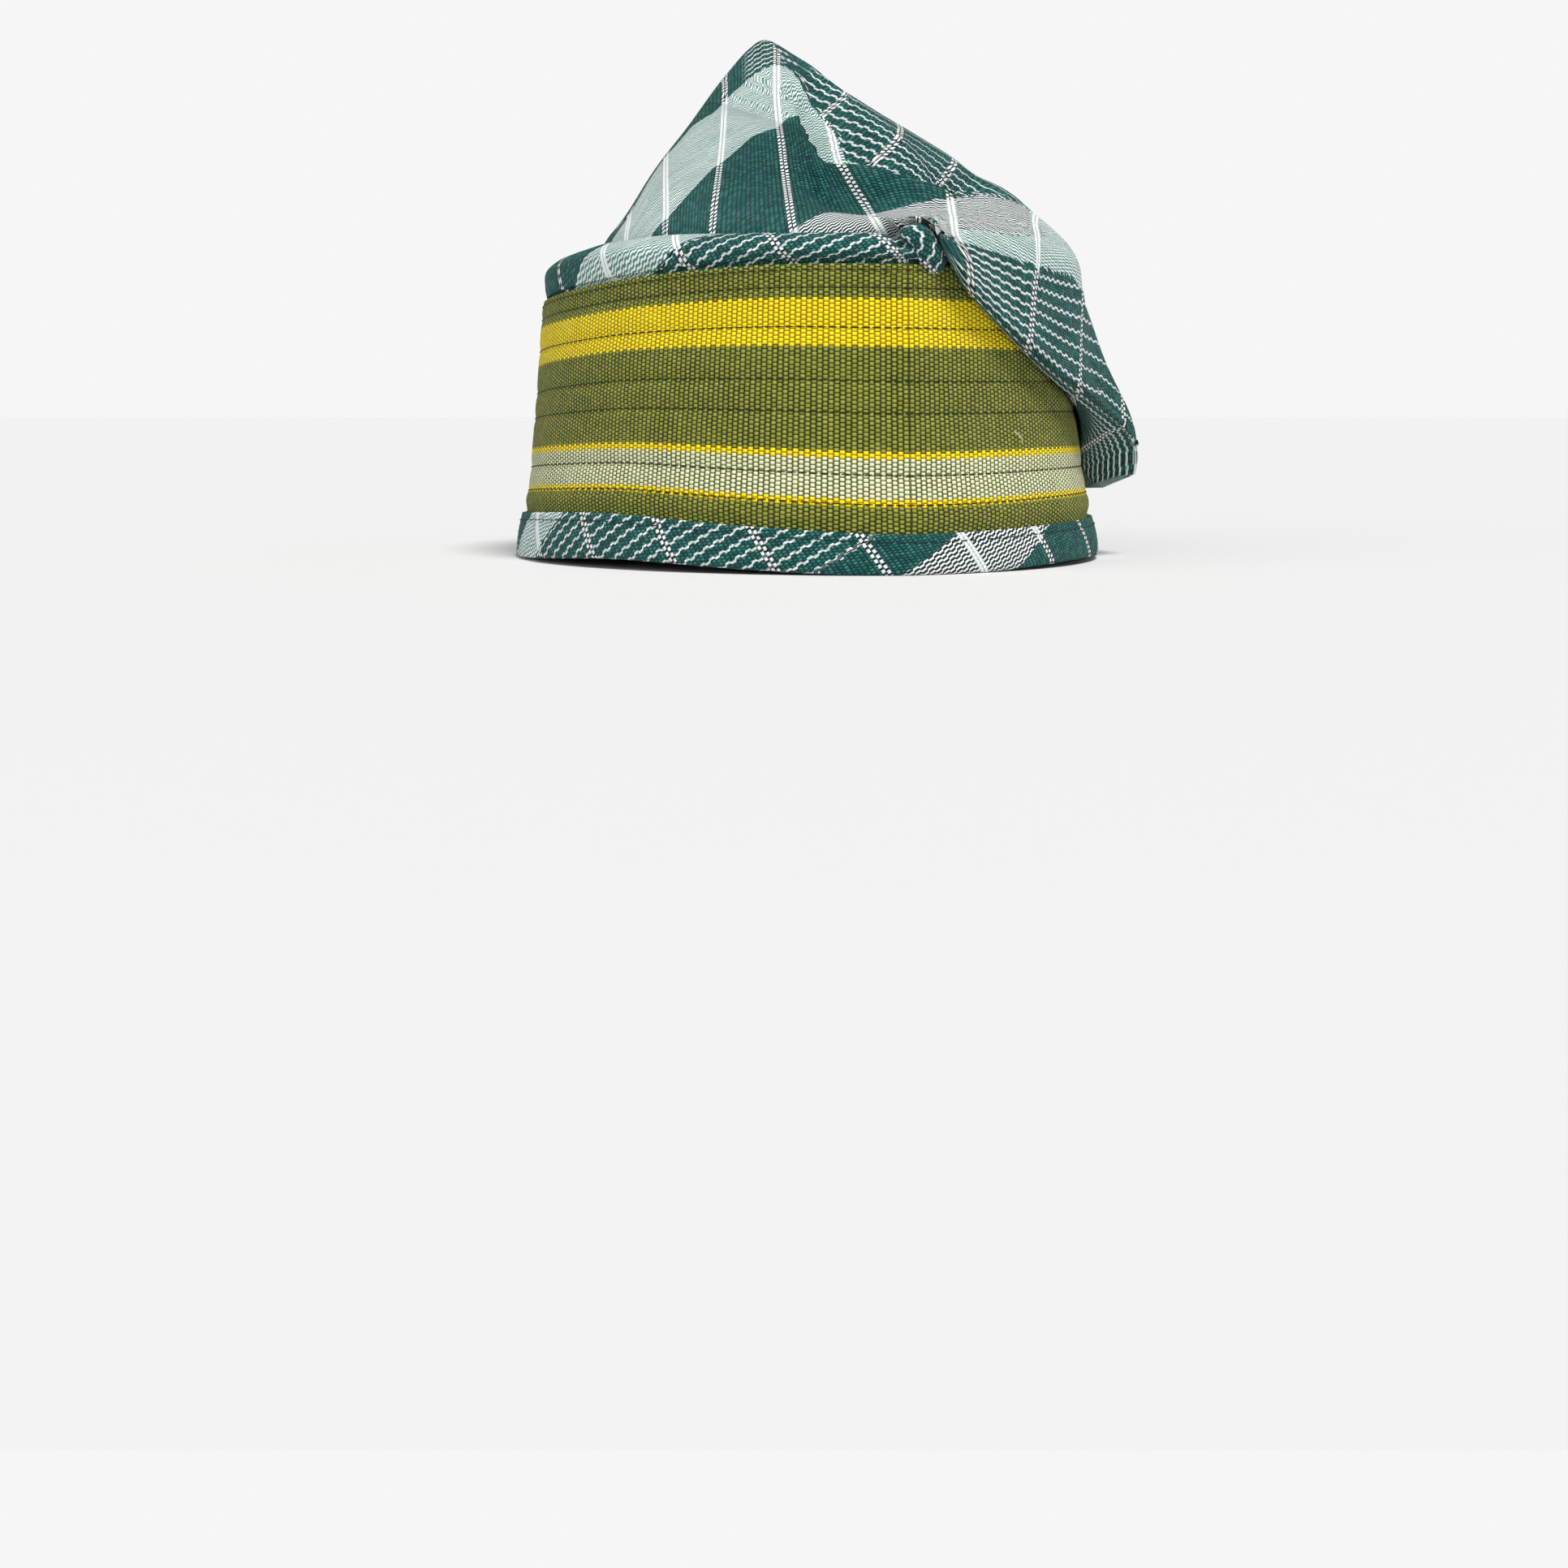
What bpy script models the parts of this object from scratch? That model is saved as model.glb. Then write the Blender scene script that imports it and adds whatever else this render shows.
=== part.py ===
"""Aso-oke cap: a tall plaid cloth bag, folded over to one side above a striped band with bound edges.

The cap stands on its lower edge, its front crease toward -Y and the folded flap on +X, the wearer's
left. Sizes below are in millimetres, and the meshes are made in metres with +Z up.
"""
from collections import namedtuple
from math import atan2, cos, degrees, exp, hypot, pi, radians, sin

import bmesh
import bpy
import numpy as np

MM = 0.001
COLUMNS = 56            # faces round each ring, so that neighbouring walls keep their gap
GAP = 0.5               # clear space between sewn layers, faceted walls included

# Head opening: half sizes of the band's outer face, at its lower edge and at BAND_HEIGHT
BAND_HEIGHT = 82.0
HALF_LENGTH = (102.6, 97.4)
HALF_WIDTH_RIGHT = (85.2, 77.2)
HALF_WIDTH_LEFT = (86.4, 74.4)
CREASE = 0.2            # share of the oval that runs straight to the front and back creases

# Walls
BAND_WALL = 1.5
BINDING_WALL = 1.3
CROWN_WALL = 1.2

# Levels round the cap; angle 0 is the front crease and 90 the wearer's left
Level = namedtuple("Level", "angle hem_bottom band_bottom band_top rim_top")
LEVELS = [
    Level(-180, -0.5, 11.5, 80.0, 89.0),
    Level(-135, 1.2, 12.5, 76.5, 87.5),
    Level(-105, -0.3, 13.0, 75.5, 88.0),
    Level(-80, 1.2, 14.5, 77.0, 89.5),
    Level(-55, 2.8, 15.3, 79.5, 91.0),
    Level(-28, 1.2, 12.8, 81.5, 90.5),
    Level(0, -0.5, 11.0, 81.5, 90.0),
    Level(45, 1.4, 12.5, 81.0, 89.5),
    Level(90, -0.3, 12.5, 80.0, 88.5),
    Level(135, 1.4, 12.5, 80.0, 88.5),
]

# Rolled rim: a binding that comes up behind the band and turns inward over its top
RIM_RADIUS = 6.3
RIM_MIDDLE = -5.9       # middle of the roll, from the band's outer face
RIM_BEHIND = -(BAND_WALL + GAP)
RIM_SLACK = 1.1         # room between the roll and the crown's cloth, which lies on it in flat faces

# Cloth laid over cloth: the flap's two layers keep this much more room from the rim, and their folded
# edge is a round nose of this radius and half thickness
FOLDED_LAYERS = 5.0
NOSE_RADIUS = 2.6
NOSE = 2.6

# Rings of the crown's sewn edge, inside the rim; the wearer's left side stands higher
Ring = namedtuple("Ring", "offset height left_offset left_height")
SEWN_RINGS = [
    Ring(-12.7, 74.0, -12.7, 74.0),
    Ring(-12.7, 80.0, -12.7, 82.0),
    Ring(-13.6, 85.5, -11.6, 88.5),
]

# Rows of the crown above the rim, up over the peak and down to the flap's tip. An edge is a place on
# the band (angle, offset, height), under the middle of the side that lies on the band, over the middle
# of the upper side (x, y, z). reach is how far the upper side runs level from its middle to the front
# and to the back, shoulder the height where it turns in over the rim, stand and lean how it turns.
Edge = namedtuple("Edge", "angle offset height")
Under = namedtuple("Under", "offset height")
Row = namedtuple("Row", "front under back over reach shoulder turn")
CROWN_ROWS = [
    Row(Edge(1, -12.3, 90.0), Under(-9.0, 91.0), Edge(179, -12.3, 89.5), (-59.0, 0, 94.0), (46, 44), 0, (-30, 2, 1)),
    Row(Edge(3, -7.5, 92.5), Under(-3.0, 91.5), Edge(177, -7.5, 91.5), (-54.5, 0, 100.5), (42, 40), 0, (-16, 9, 3)),
    Row(Edge(5, 0.8, 92.0), Under(1.0, 88.0), Edge(175, 0.8, 91.0), (-49.0, 0, 108.5), (38, 36), 0, (-7, 14, 5)),
    Row(Edge(7, 3.8, 86.0), Under(1.0, 81.5), Edge(173, 3.8, 85.0), (-42.0, 0, 118.0), (36, 32), 86, (-6, 12, 8)),
    Row(Edge(12, 3.6, 76.0), Under(1.0, 72.0), Edge(168, 3.6, 75.0), (-33.5, 0, 129.0), (36, 30), 84, (-6, 5, 10)),
    Row(Edge(18, 3.8, 69.0), Under(1.0, 64.5), Edge(162, 3.8, 68.0), (-24.5, 0, 141.0), (28, 22), 84, (-5, 2, 10)),
    Row(Edge(23, 4.0, 64.0), Under(1.0, 58.5), Edge(157, 4.0, 62.0), (-16.5, 0, 149.5), (20, 15), 84, (-4, 0, 10)),
    Row(Edge(27, 4.0, 60.5), Under(1.0, 54.5), Edge(152, 4.0, 58.0), (-11.0, 0, 151.5), (17, 12), 84, (-2, 0, 10)),
    Row(Edge(31, 4.2, 57.0), Under(1.0, 50.5), Edge(147, 4.2, 54.5), (-3.5, 0, 145.5), (20, 14), 84, (-2, 0, 10)),
    Row(Edge(36, 4.5, 53.5), Under(1.0, 46.5), Edge(142, 4.5, 50.5), (12.0, 0, 136.0), (28, 20), 84, (-2, 0, 10)),
    Row(Edge(41, 5.0, 50.5), Under(1.0, 42.5), Edge(137, 5.0, 47.0), (30.0, 0, 125.5), (36, 28), 84, (-2, 0, 10)),
    Row(Edge(46, 5.8, 48.0), Under(1.0, 39.0), Edge(131, 6.0, 43.5), (47.0, 0, 115.0), (36, 32), 82, (-1, 0, 10)),
    Row(Edge(51, 7.2, 45.5), Under(1.1, 36.0), Edge(126, 7.5, 40.5), (61.0, 0, 105.0), (34, 34), 76, (0, 0, 11)),
    Row(Edge(56, 9.0, 43.0), Under(1.3, 33.0), Edge(121, 9.0, 37.5), (72.5, 0, 95.0), (32, 34), 66, (0, 0, 13)),
    Row(Edge(61, 11.5, 40.5), Under(1.6, 30.0), Edge(116, 11.0, 35.0), (81.0, -2, 82.0), (28, 32), 56, (0, 0, 13)),
    Row(Edge(65, 14.0, 38.0), Under(2.0, 27.2), Edge(111, 13.0, 32.5), (86.0, -4, 68.0), (25, 28), 46, (0, 0, 12)),
    Row(Edge(69, 16.2, 35.0), Under(2.6, 24.4), Edge(106, 14.5, 30.0), (90.5, -7, 54.5), (22, 23), 0, (0, 0, 12)),
    Row(Edge(72, 17.4, 30.5), Under(4.0, 21.8), Edge(101, 15.2, 26.5), (95.0, -10, 40.5), (18, 18), 0, (0, 0, 8)),
    Row(Edge(75, 17.2, 24.5), Under(7.0, 19.6), Edge(96, 15.0, 22.5), (98.0, -12, 28.0), (12, 12), 0, (0, 0, 4)),
]
TIP = (94.0, -11.5, 20.0)
ROWS_BETWEEN = 1.6      # rows of faces for each row of the table
CLOSER_AT_EDGE = 1.4    # how much closer the faces lie toward the folded edges
MM_PER_DEGREE = 1.6     # length round the band

# Folds of the crown's front, laid out as seen from 16 degrees to the wearer's right of the front:
# a line from (across, height) to (across, height), how far it stands out, and its width to each side
Fold = namedtuple("Fold", "name start end rise above below")
SEEN_FROM = radians(16)
FRONT_FOLDS = [
    Fold("ridge", (-9.0, 138.0), (-4.0, 122.0), 2.5, 9.0, 12.0),
    Fold("valley", (6.0, 134.0), (14.0, 122.0), -4.0, 8.0, 7.0),
    Fold("lip", (12.0, 121.0), (44.0, 113.0), 3.0, 11.0, 7.0),
    Fold("hollow", (12.0, 107.0), (40.0, 103.0), -5.0, 8.0, 11.0),
]
FOLD_END = 12.0         # how softly a fold dies away past its ends
FOLD_FLOOR = 93.0       # folds fade out down to this height, where the cloth lies on the rim

PLAID = ("plaid_cloth", (0.02, 0.09, 0.08), 0.85)
OLIVE = ("band_cloth", (0.16, 0.21, 0.03), 0.8)


def mix(start, end, share):
    return start + (end - start) * share


def limit(value, low=0.0, high=1.0):
    return min(max(value, low), high)


def level(angle, column):
    """A column of LEVELS at an angle, on a smooth closed curve through the rows."""
    count = len(LEVELS)
    place = (angle + 180) % 360 - 180
    k = max(i for i in range(count) if LEVELS[i].angle <= place + 1e-9)

    def angle_at(i):
        return LEVELS[i % count].angle + 360 * (i // count)

    def value_at(i):
        return getattr(LEVELS[i % count], column)

    def slope_at(i):
        return (value_at(i + 1) - value_at(i - 1)) / (angle_at(i + 1) - angle_at(i - 1))

    width = angle_at(k + 1) - angle_at(k)
    t = (place - angle_at(k)) / width
    start, end = value_at(k), value_at(k + 1)
    blend = 3 * t ** 2 - 2 * t ** 3
    bend = (t ** 3 - 2 * t ** 2 + t) * slope_at(k) + (t ** 3 - t ** 2) * slope_at(k + 1)
    value = mix(start, end, blend) + bend * width
    return max(value, 0.0) if column == "hem_bottom" else value


def half_sizes(height, left):
    up = limit(height / BAND_HEIGHT, 0.0, 1.15)
    widths = HALF_WIDTH_LEFT if left else HALF_WIDTH_RIGHT
    return mix(*widths, up), mix(*HALF_LENGTH, up)


def oval_shape(turn):
    """The oval of unit size at a turn in radians from the front crease, pointed at front and back."""
    straight = 1 - abs(turn) / (pi / 2)
    return sin(turn), -((1 - CREASE) * cos(turn) + CREASE * straight)


def on_band(angle, offset, height):
    """Point at an offset from the band's outer face."""
    turn = radians((angle + 180) % 360 - 180)
    width, length = half_sizes(height, sin(turn) > 0)
    x, y = oval_shape(turn)
    return np.array([(width + offset) * x, (length + offset) * y, height])


def place_on_band(point):
    """Angle, offset and height of a point: on_band turned round, in a few steps."""
    x, y, height = point
    width, length = half_sizes(height, x > 0)
    offset, turn = 0.0, 0.0
    for _ in range(12):
        goal = atan2(x / (width + offset), -y / (length + offset))
        turn = goal
        for _ in range(4):
            side, front = oval_shape(turn)
            turn += goal - atan2(side, -front)
        side, front = oval_shape(turn)
        offset += hypot(x, y) - hypot((width + offset) * side, (length + offset) * front)
        offset = max(offset, 5 - width)
    return degrees(turn), offset, height


def angles():
    return [360.0 * i / COLUMNS for i in range(COLUMNS)]


def bezier(start, pull, push, end, t):
    u = 1 - t
    return u ** 3 * start + 3 * u * u * t * pull + 3 * u * t * t * push + t ** 3 * end


def between(rows, place):
    """Smooth curve through rows of points, at a row number with a fraction."""
    k = min(int(place), len(rows) - 2)
    t = place - k
    start, end = rows[k], rows[k + 1]
    before = rows[k - 1] if k else 2 * start - end
    after = rows[k + 2] if k + 2 < len(rows) else 2 * end - start
    pull, push = start + (end - before) / 6, end - (after - start) / 6
    return bezier(start, pull, push, end, t)


def sewn_ring(ring):
    points = []
    for angle in angles():
        left = max(sin(radians(angle)), 0.0) ** 0.6
        offset = mix(ring.offset, ring.left_offset, left)
        points.append(on_band(angle, offset, mix(ring.height, ring.left_height, left)))
    return np.array(points)


def nose(distance):
    """Half thickness of the folded edge at a distance from it."""
    return min((2 * NOSE_RADIUS * distance) ** 0.5, NOSE)


def under_side(row, angle):
    """Side of a row that lies on the band; angle 0 is its front edge, 180 its back edge."""
    edge = row.front if angle <= 90 else row.back
    share = 1 - (1 - abs(angle - 90) / 90) ** CLOSER_AT_EDGE
    distance = (1 - share) * abs(90 - edge.angle) * MM_PER_DEGREE
    offset = mix(row.under.offset, edge.offset, share ** 3) - nose(distance)
    return on_band(mix(90, edge.angle, share), max(row.under.offset, offset),
                   mix(row.under.height, edge.height, share ** 2))


def over_side(row, share, front):
    """Upper side of a row; share 0 is its middle and 1 its front or back edge."""
    edge = row.front if front else row.back
    reach = -row.reach[0] if front else row.reach[1]
    over = np.array(row.over, float)
    turn_height = max(row.shoulder, edge.height)
    risen = limit((turn_height - edge.height) / 12)
    turn_offset = mix(edge.offset, edge.offset * 0.15 + FOLDED_LAYERS, risen)
    shoulder = on_band(edge.angle, turn_offset, turn_height)
    lower = np.linalg.norm(shoulder - on_band(*edge))
    upper = np.linalg.norm(over - shoulder) * 1.12
    split = upper / (upper + lower)
    if share > split:
        drop = (share - split) / (1 - split)
        thick = nose((1 - drop) * lower)
        return on_band(edge.angle, mix(turn_offset, edge.offset + thick, drop ** 3),
                       mix(turn_height, edge.height, drop))
    pull = over + np.array([0, reach, 0])
    left, inward, up = row.turn
    push = shoulder + np.array([left, inward if front else -inward, up])
    return bezier(over, pull, push, shoulder, share / split)


def lie_on_rim(point, layers):
    """Moves a point of the crown out of the rolled rim, and of the layers below it at the flap."""
    angle, offset, height = place_on_band(point)
    covered = limit(angle / 6) * limit((180 - angle) / 6)
    room = RIM_RADIUS + RIM_SLACK + layers * covered
    middle = level(angle, "rim_top") - RIM_RADIUS
    across, up = offset - RIM_MIDDLE, height - middle
    if up <= 0:
        return on_band(angle, RIM_MIDDLE + room, height) if 0 < across < room else point
    distance = hypot(across, up)
    if distance >= room:
        return point
    push = room / max(distance, 1e-6)
    return on_band(angle, RIM_MIDDLE + across * push, middle + up * push)


def fold_front(point):
    """Moves a point of the crown's front outward or inward by the folds near it."""
    x, y, z = point
    fade = limit((z - FOLD_FLOOR) / 8) * limit((-2 - y) / 12)
    seen = cos(SEEN_FROM) * x - sin(SEEN_FROM) * y
    moved = 0.0
    for fold in FRONT_FOLDS:
        run, climb = fold.end[0] - fold.start[0], fold.end[1] - fold.start[1]
        length = hypot(run, climb)
        right, up = seen - fold.start[0], z - fold.start[1]
        along = (right * run + up * climb) / length
        across = (up * run - right * climb) / length
        past = max(-along, along - length, 0.0)
        width = fold.above if across > 0 else fold.below
        moved += fold.rise * exp(-(across / width) ** 2 - (past / FOLD_END) ** 2)
    return point + np.array([0.0, -0.93, 0.36]) * moved * fade


def crown_row(row):
    points = []
    for angle in angles():
        if angle <= 180:
            points.append(under_side(row, angle))
        else:
            share = 1 - (1 - abs(angle - 270) / 90) ** CLOSER_AT_EDGE
            points.append(lie_on_rim(over_side(row, share, angle >= 270), FOLDED_LAYERS))
    return np.array(points)


def crown_surface():
    table = [sewn_ring(ring) for ring in SEWN_RINGS] + [crown_row(row) for row in CROWN_ROWS]
    count = int((len(table) - 1) * ROWS_BETWEEN)
    surface = []
    for i in range(count + 1):
        ring = []
        for point, angle in zip(between(table, i * (len(table) - 1) / count), angles()):
            over = angle > 180
            point = lie_on_rim(point, FOLDED_LAYERS if over else 0.0)
            ring.append(fold_front(point) if over else point)
        surface.append(ring)
    return surface


def ring_at(offset, column, rise=0.0):
    """Ring of points at an offset from the band's outer face, above or below a level."""
    return [on_band(a, offset, level(a, column) + rise) for a in angles()]


def band_surface():
    middle = [mix(low, high, 0.5) for low, high in zip(ring_at(0, "hem_bottom", 2.3), ring_at(0, "band_top"))]
    return [ring_at(0, "hem_bottom", 2.3), middle, ring_at(0, "band_top")]


def rim_surface():
    outer, inner = RIM_MIDDLE + RIM_RADIUS, RIM_MIDDLE - RIM_RADIUS
    return [
        ring_at(RIM_BEHIND, "band_top", -13.0),
        ring_at(RIM_BEHIND, "band_top", 0.3),
        ring_at(-0.7, "band_top", 1.9),
        ring_at(outer, "rim_top", -4.6),
        ring_at(-1.6, "rim_top", -1.9),
        ring_at(RIM_MIDDLE, "rim_top", 0.0),
        ring_at(-10.3, "rim_top", -1.9),
        ring_at(inner, "rim_top", -6.3),
        ring_at(inner, "rim_top", -14.0),
    ]


def hem_surface():
    outer = GAP + BINDING_WALL
    inner = -(BAND_WALL + GAP + BINDING_WALL)
    return [
        ring_at(inner, "hem_bottom", 11.0),
        ring_at(inner, "hem_bottom", 1.2),
        ring_at(inner + 1.0, "hem_bottom", 0.0),
        ring_at(outer - 1.0, "hem_bottom", 0.0),
        ring_at(outer + 0.4, "hem_bottom", 1.2),
        ring_at(outer, "band_bottom", 0.0),
    ]


def cloth_material(name, colour, roughness):
    material = bpy.data.materials.new(name)
    material.use_nodes = True
    shader = material.node_tree.nodes["Principled BSDF"]
    shader.inputs["Base Color"].default_value = (*colour, 1.0)
    shader.inputs["Roughness"].default_value = roughness
    shader.inputs["Metallic"].default_value = 0.0
    return material


def loft(name, rings, wall, finish, collection, tip=None):
    """Cloth lofted through rings of points, closed at a tip if there is one, with its wall inside."""
    mesh = bpy.data.meshes.new(name)
    work = bmesh.new()
    verts = [[work.verts.new(np.array(point) * MM) for point in ring] for ring in rings]
    for low, high in zip(verts, verts[1:]):
        for i in range(COLUMNS):
            k = (i + 1) % COLUMNS
            work.faces.new((low[i], low[k], high[k], high[i]))
    if tip is not None:
        top = work.verts.new(np.array(tip) * MM)
        for i in range(COLUMNS):
            work.faces.new((verts[-1][i], verts[-1][(i + 1) % COLUMNS], top))
    bmesh.ops.triangulate(work, faces=[face for face in work.faces if len(face.verts) > 3])
    work.to_mesh(mesh)
    work.free()
    mesh.shade_smooth()
    mesh.materials.append(cloth_material(*finish))
    part = bpy.data.objects.new(name, mesh)
    collection.objects.link(part)
    solidify = part.modifiers.new("wall", "SOLIDIFY")
    solidify.thickness = wall * MM
    solidify.offset = -1
    return part


def stand_on_origin(parts):
    """Moves the meshes so that the middle of the cap's box at its foot is the origin."""
    points = np.array([v.co for part in parts for v in part.data.vertices])
    low, high = points.min(axis=0), points.max(axis=0)
    foot = np.array([(low[0] + high[0]) / 2, (low[1] + high[1]) / 2, low[2]])
    for part in parts:
        for vertex in part.data.vertices:
            vertex.co = np.array(vertex.co) - foot


def main():
    for item in list(bpy.data.objects):
        bpy.data.objects.remove(item)
    collection = bpy.data.collections.new("aso_oke_cap")
    bpy.context.scene.collection.children.link(collection)
    parts = [
        loft("crown", crown_surface(), CROWN_WALL, PLAID, collection, TIP),
        loft("band", band_surface(), BAND_WALL, OLIVE, collection),
        loft("rim_binding", rim_surface(), BINDING_WALL, PLAID, collection),
        loft("hem_binding", hem_surface(), BINDING_WALL, PLAID, collection),
    ]
    stand_on_origin(parts)


main()
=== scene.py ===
"""Dressed model of the aso-oke cap: plaid crown, striped band, rolled rim and bound hem, in woven cloth.

The cap stands on its hem, its front crease toward -Y and the folded flap on +X, the wearer's left.
Shapes are worked out in millimetres about the middle of the head opening, then put in the CAD frame.
"""
from collections import namedtuple
from math import atan, atan2, cos, degrees, hypot, pi, radians, sin, tan

import bmesh
import bpy
import numpy as np
from mathutils import Matrix, Vector, noise


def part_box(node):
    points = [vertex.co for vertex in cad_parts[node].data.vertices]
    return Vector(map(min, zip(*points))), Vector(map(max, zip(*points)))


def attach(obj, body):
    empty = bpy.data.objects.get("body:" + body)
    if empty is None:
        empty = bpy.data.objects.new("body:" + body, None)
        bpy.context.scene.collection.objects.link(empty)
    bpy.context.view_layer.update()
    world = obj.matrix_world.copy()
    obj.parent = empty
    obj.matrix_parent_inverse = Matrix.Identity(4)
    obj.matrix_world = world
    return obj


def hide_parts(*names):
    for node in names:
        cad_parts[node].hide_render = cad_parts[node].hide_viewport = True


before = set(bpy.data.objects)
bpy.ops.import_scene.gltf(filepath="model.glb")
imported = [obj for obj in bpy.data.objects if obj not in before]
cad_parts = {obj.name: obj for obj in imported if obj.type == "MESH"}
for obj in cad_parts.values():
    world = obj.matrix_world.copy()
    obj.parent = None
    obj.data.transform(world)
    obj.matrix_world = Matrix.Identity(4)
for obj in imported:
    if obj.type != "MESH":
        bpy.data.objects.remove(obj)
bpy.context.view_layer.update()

MM = 0.001
COLUMNS = 272           # faces round each ring of cloth
GAP = 0.5               # clear space between sewn layers

# Head opening: half sizes of the band's outer face, at its lower edge and at BAND_HEIGHT
BAND_HEIGHT = 82.0
HALF_LENGTH = (102.6, 97.4)
HALF_WIDTH_RIGHT = (85.2, 77.2)
HALF_WIDTH_LEFT = (86.4, 74.4)
CREASE = 0.2            # how pointed the oval is at front and back

BAND_WALL = 1.5
BINDING_WALL = 1.3
CROWN_WALL = 1.2

# Levels round the cap; angle 0 is the front crease and 90 the wearer's left
Level = namedtuple("Level", "angle hem_bottom band_bottom band_top rim_top")
LEVELS = [
    Level(-180, -0.5, 11.5, 80.0, 89.0),
    Level(-135, 1.2, 12.5, 76.5, 87.5),
    Level(-105, -0.3, 13.0, 75.5, 88.0),
    Level(-80, 1.2, 14.5, 77.0, 89.5),
    Level(-55, 2.8, 15.3, 79.5, 91.0),
    Level(-28, 1.2, 12.8, 81.5, 90.5),
    Level(0, -0.5, 11.0, 81.5, 90.0),
    Level(45, 1.4, 12.5, 81.0, 89.5),
    Level(90, -0.3, 12.5, 80.0, 88.5),
    Level(135, 1.4, 12.5, 80.0, 88.5),
]

# Rolled rim: its radius, its middle and the place behind the band's wall as offsets, and the room above it
RIM_RADIUS = 6.3
RIM_MIDDLE = -5.9
RIM_BEHIND = -(BAND_WALL + GAP)
RIM_SLACK = 0.7

# Flap: height of the cloth folded under it over the rim, and the folded edge's radius and half thickness
FOLDED_LAYERS = 5.0
NOSE_RADIUS = 2.6
NOSE = 2.6

Ring = namedtuple("Ring", "offset height left_offset left_height")
SEWN_RINGS = [
    Ring(-12.7, 74.0, -12.7, 74.0),
    Ring(-12.7, 80.0, -12.7, 82.0),
    Ring(-13.6, 85.5, -11.6, 88.5),
]

# Rows of the crown above the rim, up over the peak and down to the flap's tip. An edge is a place on
# the band (angle, offset, height), under the middle of the side that lies on the band, over the middle
# of the upper side (x, y, z). reach is how far the upper side runs level from its middle to the front
# and to the back, shoulder the height where it turns in over the rim, turn how it turns in.
Edge = namedtuple("Edge", "angle offset height")
Under = namedtuple("Under", "offset height")
Row = namedtuple("Row", "front under back over reach shoulder turn")
CROWN_ROWS = [Row(Edge(*row[0]), Under(*row[1]), Edge(*row[2]), *row[3:]) for row in [
    ((1, -12.3, 90.0), (-9.0, 91.0), (179, -12.3, 89.5), (-59.0, 0, 94.0), (46, 44), 0, (-30, 2, 1)),
    ((3, -7.5, 92.5), (-3.0, 91.5), (177, -7.5, 91.5), (-54.5, 0, 100.5), (42, 40), 0, (-16, 9, 3)),
    ((5, 0.8, 92.0), (1.0, 88.0), (175, 0.8, 91.0), (-49.0, 0, 108.5), (38, 36), 0, (-7, 14, 5)),
    ((7, 3.8, 86.0), (1.0, 81.5), (173, 3.8, 85.0), (-42.0, 0, 118.0), (36, 32), 86, (-6, 12, 8)),
    ((12, 3.6, 76.0), (1.0, 72.0), (168, 3.6, 75.0), (-33.5, 0, 129.0), (36, 30), 84, (-6, 5, 10)),
    ((18, 3.8, 69.0), (1.0, 64.5), (162, 3.8, 68.0), (-24.5, 0, 141.0), (28, 22), 84, (-5, 2, 10)),
    ((23, 4.0, 64.0), (1.0, 58.5), (157, 4.0, 62.0), (-16.5, 0, 149.5), (20, 15), 84, (-4, 0, 10)),
    ((27, 4.0, 60.5), (1.0, 54.5), (152, 4.0, 58.0), (-11.0, 0, 151.5), (17, 12), 84, (-2, 0, 10)),
    ((31, 4.2, 57.0), (1.0, 50.5), (147, 4.2, 54.5), (-3.5, 0, 145.5), (20, 14), 84, (-2, 0, 10)),
    ((36, 4.5, 53.5), (1.0, 46.5), (142, 4.5, 50.5), (12.0, 0, 136.0), (28, 20), 84, (-2, 0, 10)),
    ((41, 5.0, 50.5), (1.0, 42.5), (137, 5.0, 47.0), (30.0, 0, 125.5), (36, 28), 84, (-2, 0, 10)),
    ((46, 5.8, 48.0), (1.0, 39.0), (131, 6.0, 43.5), (47.0, 0, 115.0), (36, 32), 82, (-1, 0, 10)),
    ((51, 7.2, 45.5), (1.1, 36.0), (126, 7.5, 40.5), (61.0, 0, 105.0), (34, 34), 76, (0, 0, 11)),
    ((56, 9.0, 43.0), (1.3, 33.0), (121, 9.0, 37.5), (72.5, 0, 95.0), (32, 34), 66, (0, 0, 13)),
    ((61, 11.5, 40.5), (1.6, 30.0), (116, 11.0, 35.0), (81.0, -2, 82.0), (28, 32), 56, (0, 0, 13)),
    ((65, 14.0, 38.0), (2.0, 27.2), (111, 13.0, 32.5), (86.0, -4, 68.0), (25, 28), 46, (0, 0, 12)),
    ((69, 16.2, 35.0), (2.6, 24.4), (106, 14.5, 30.0), (90.5, -7, 54.5), (22, 23), 0, (0, 0, 12)),
    ((72, 17.4, 30.5), (4.0, 21.8), (101, 15.2, 26.5), (95.0, -10, 40.5), (18, 18), 0, (0, 0, 8)),
    ((75, 17.2, 24.5), (7.0, 19.6), (96, 15.0, 22.5), (98.0, -12, 28.0), (12, 12), 0, (0, 0, 4)),
]]
TIP = (94.0, -11.5, 20.0)
RINGS_BETWEEN = 8       # rings of faces for each row of the table
CLOSER_AT_EDGE = 1.3    # above 1 the columns lie closer at the front and back edges
MM_PER_DEGREE = 1.6     # length round the band, for the thickness near an edge

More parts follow.
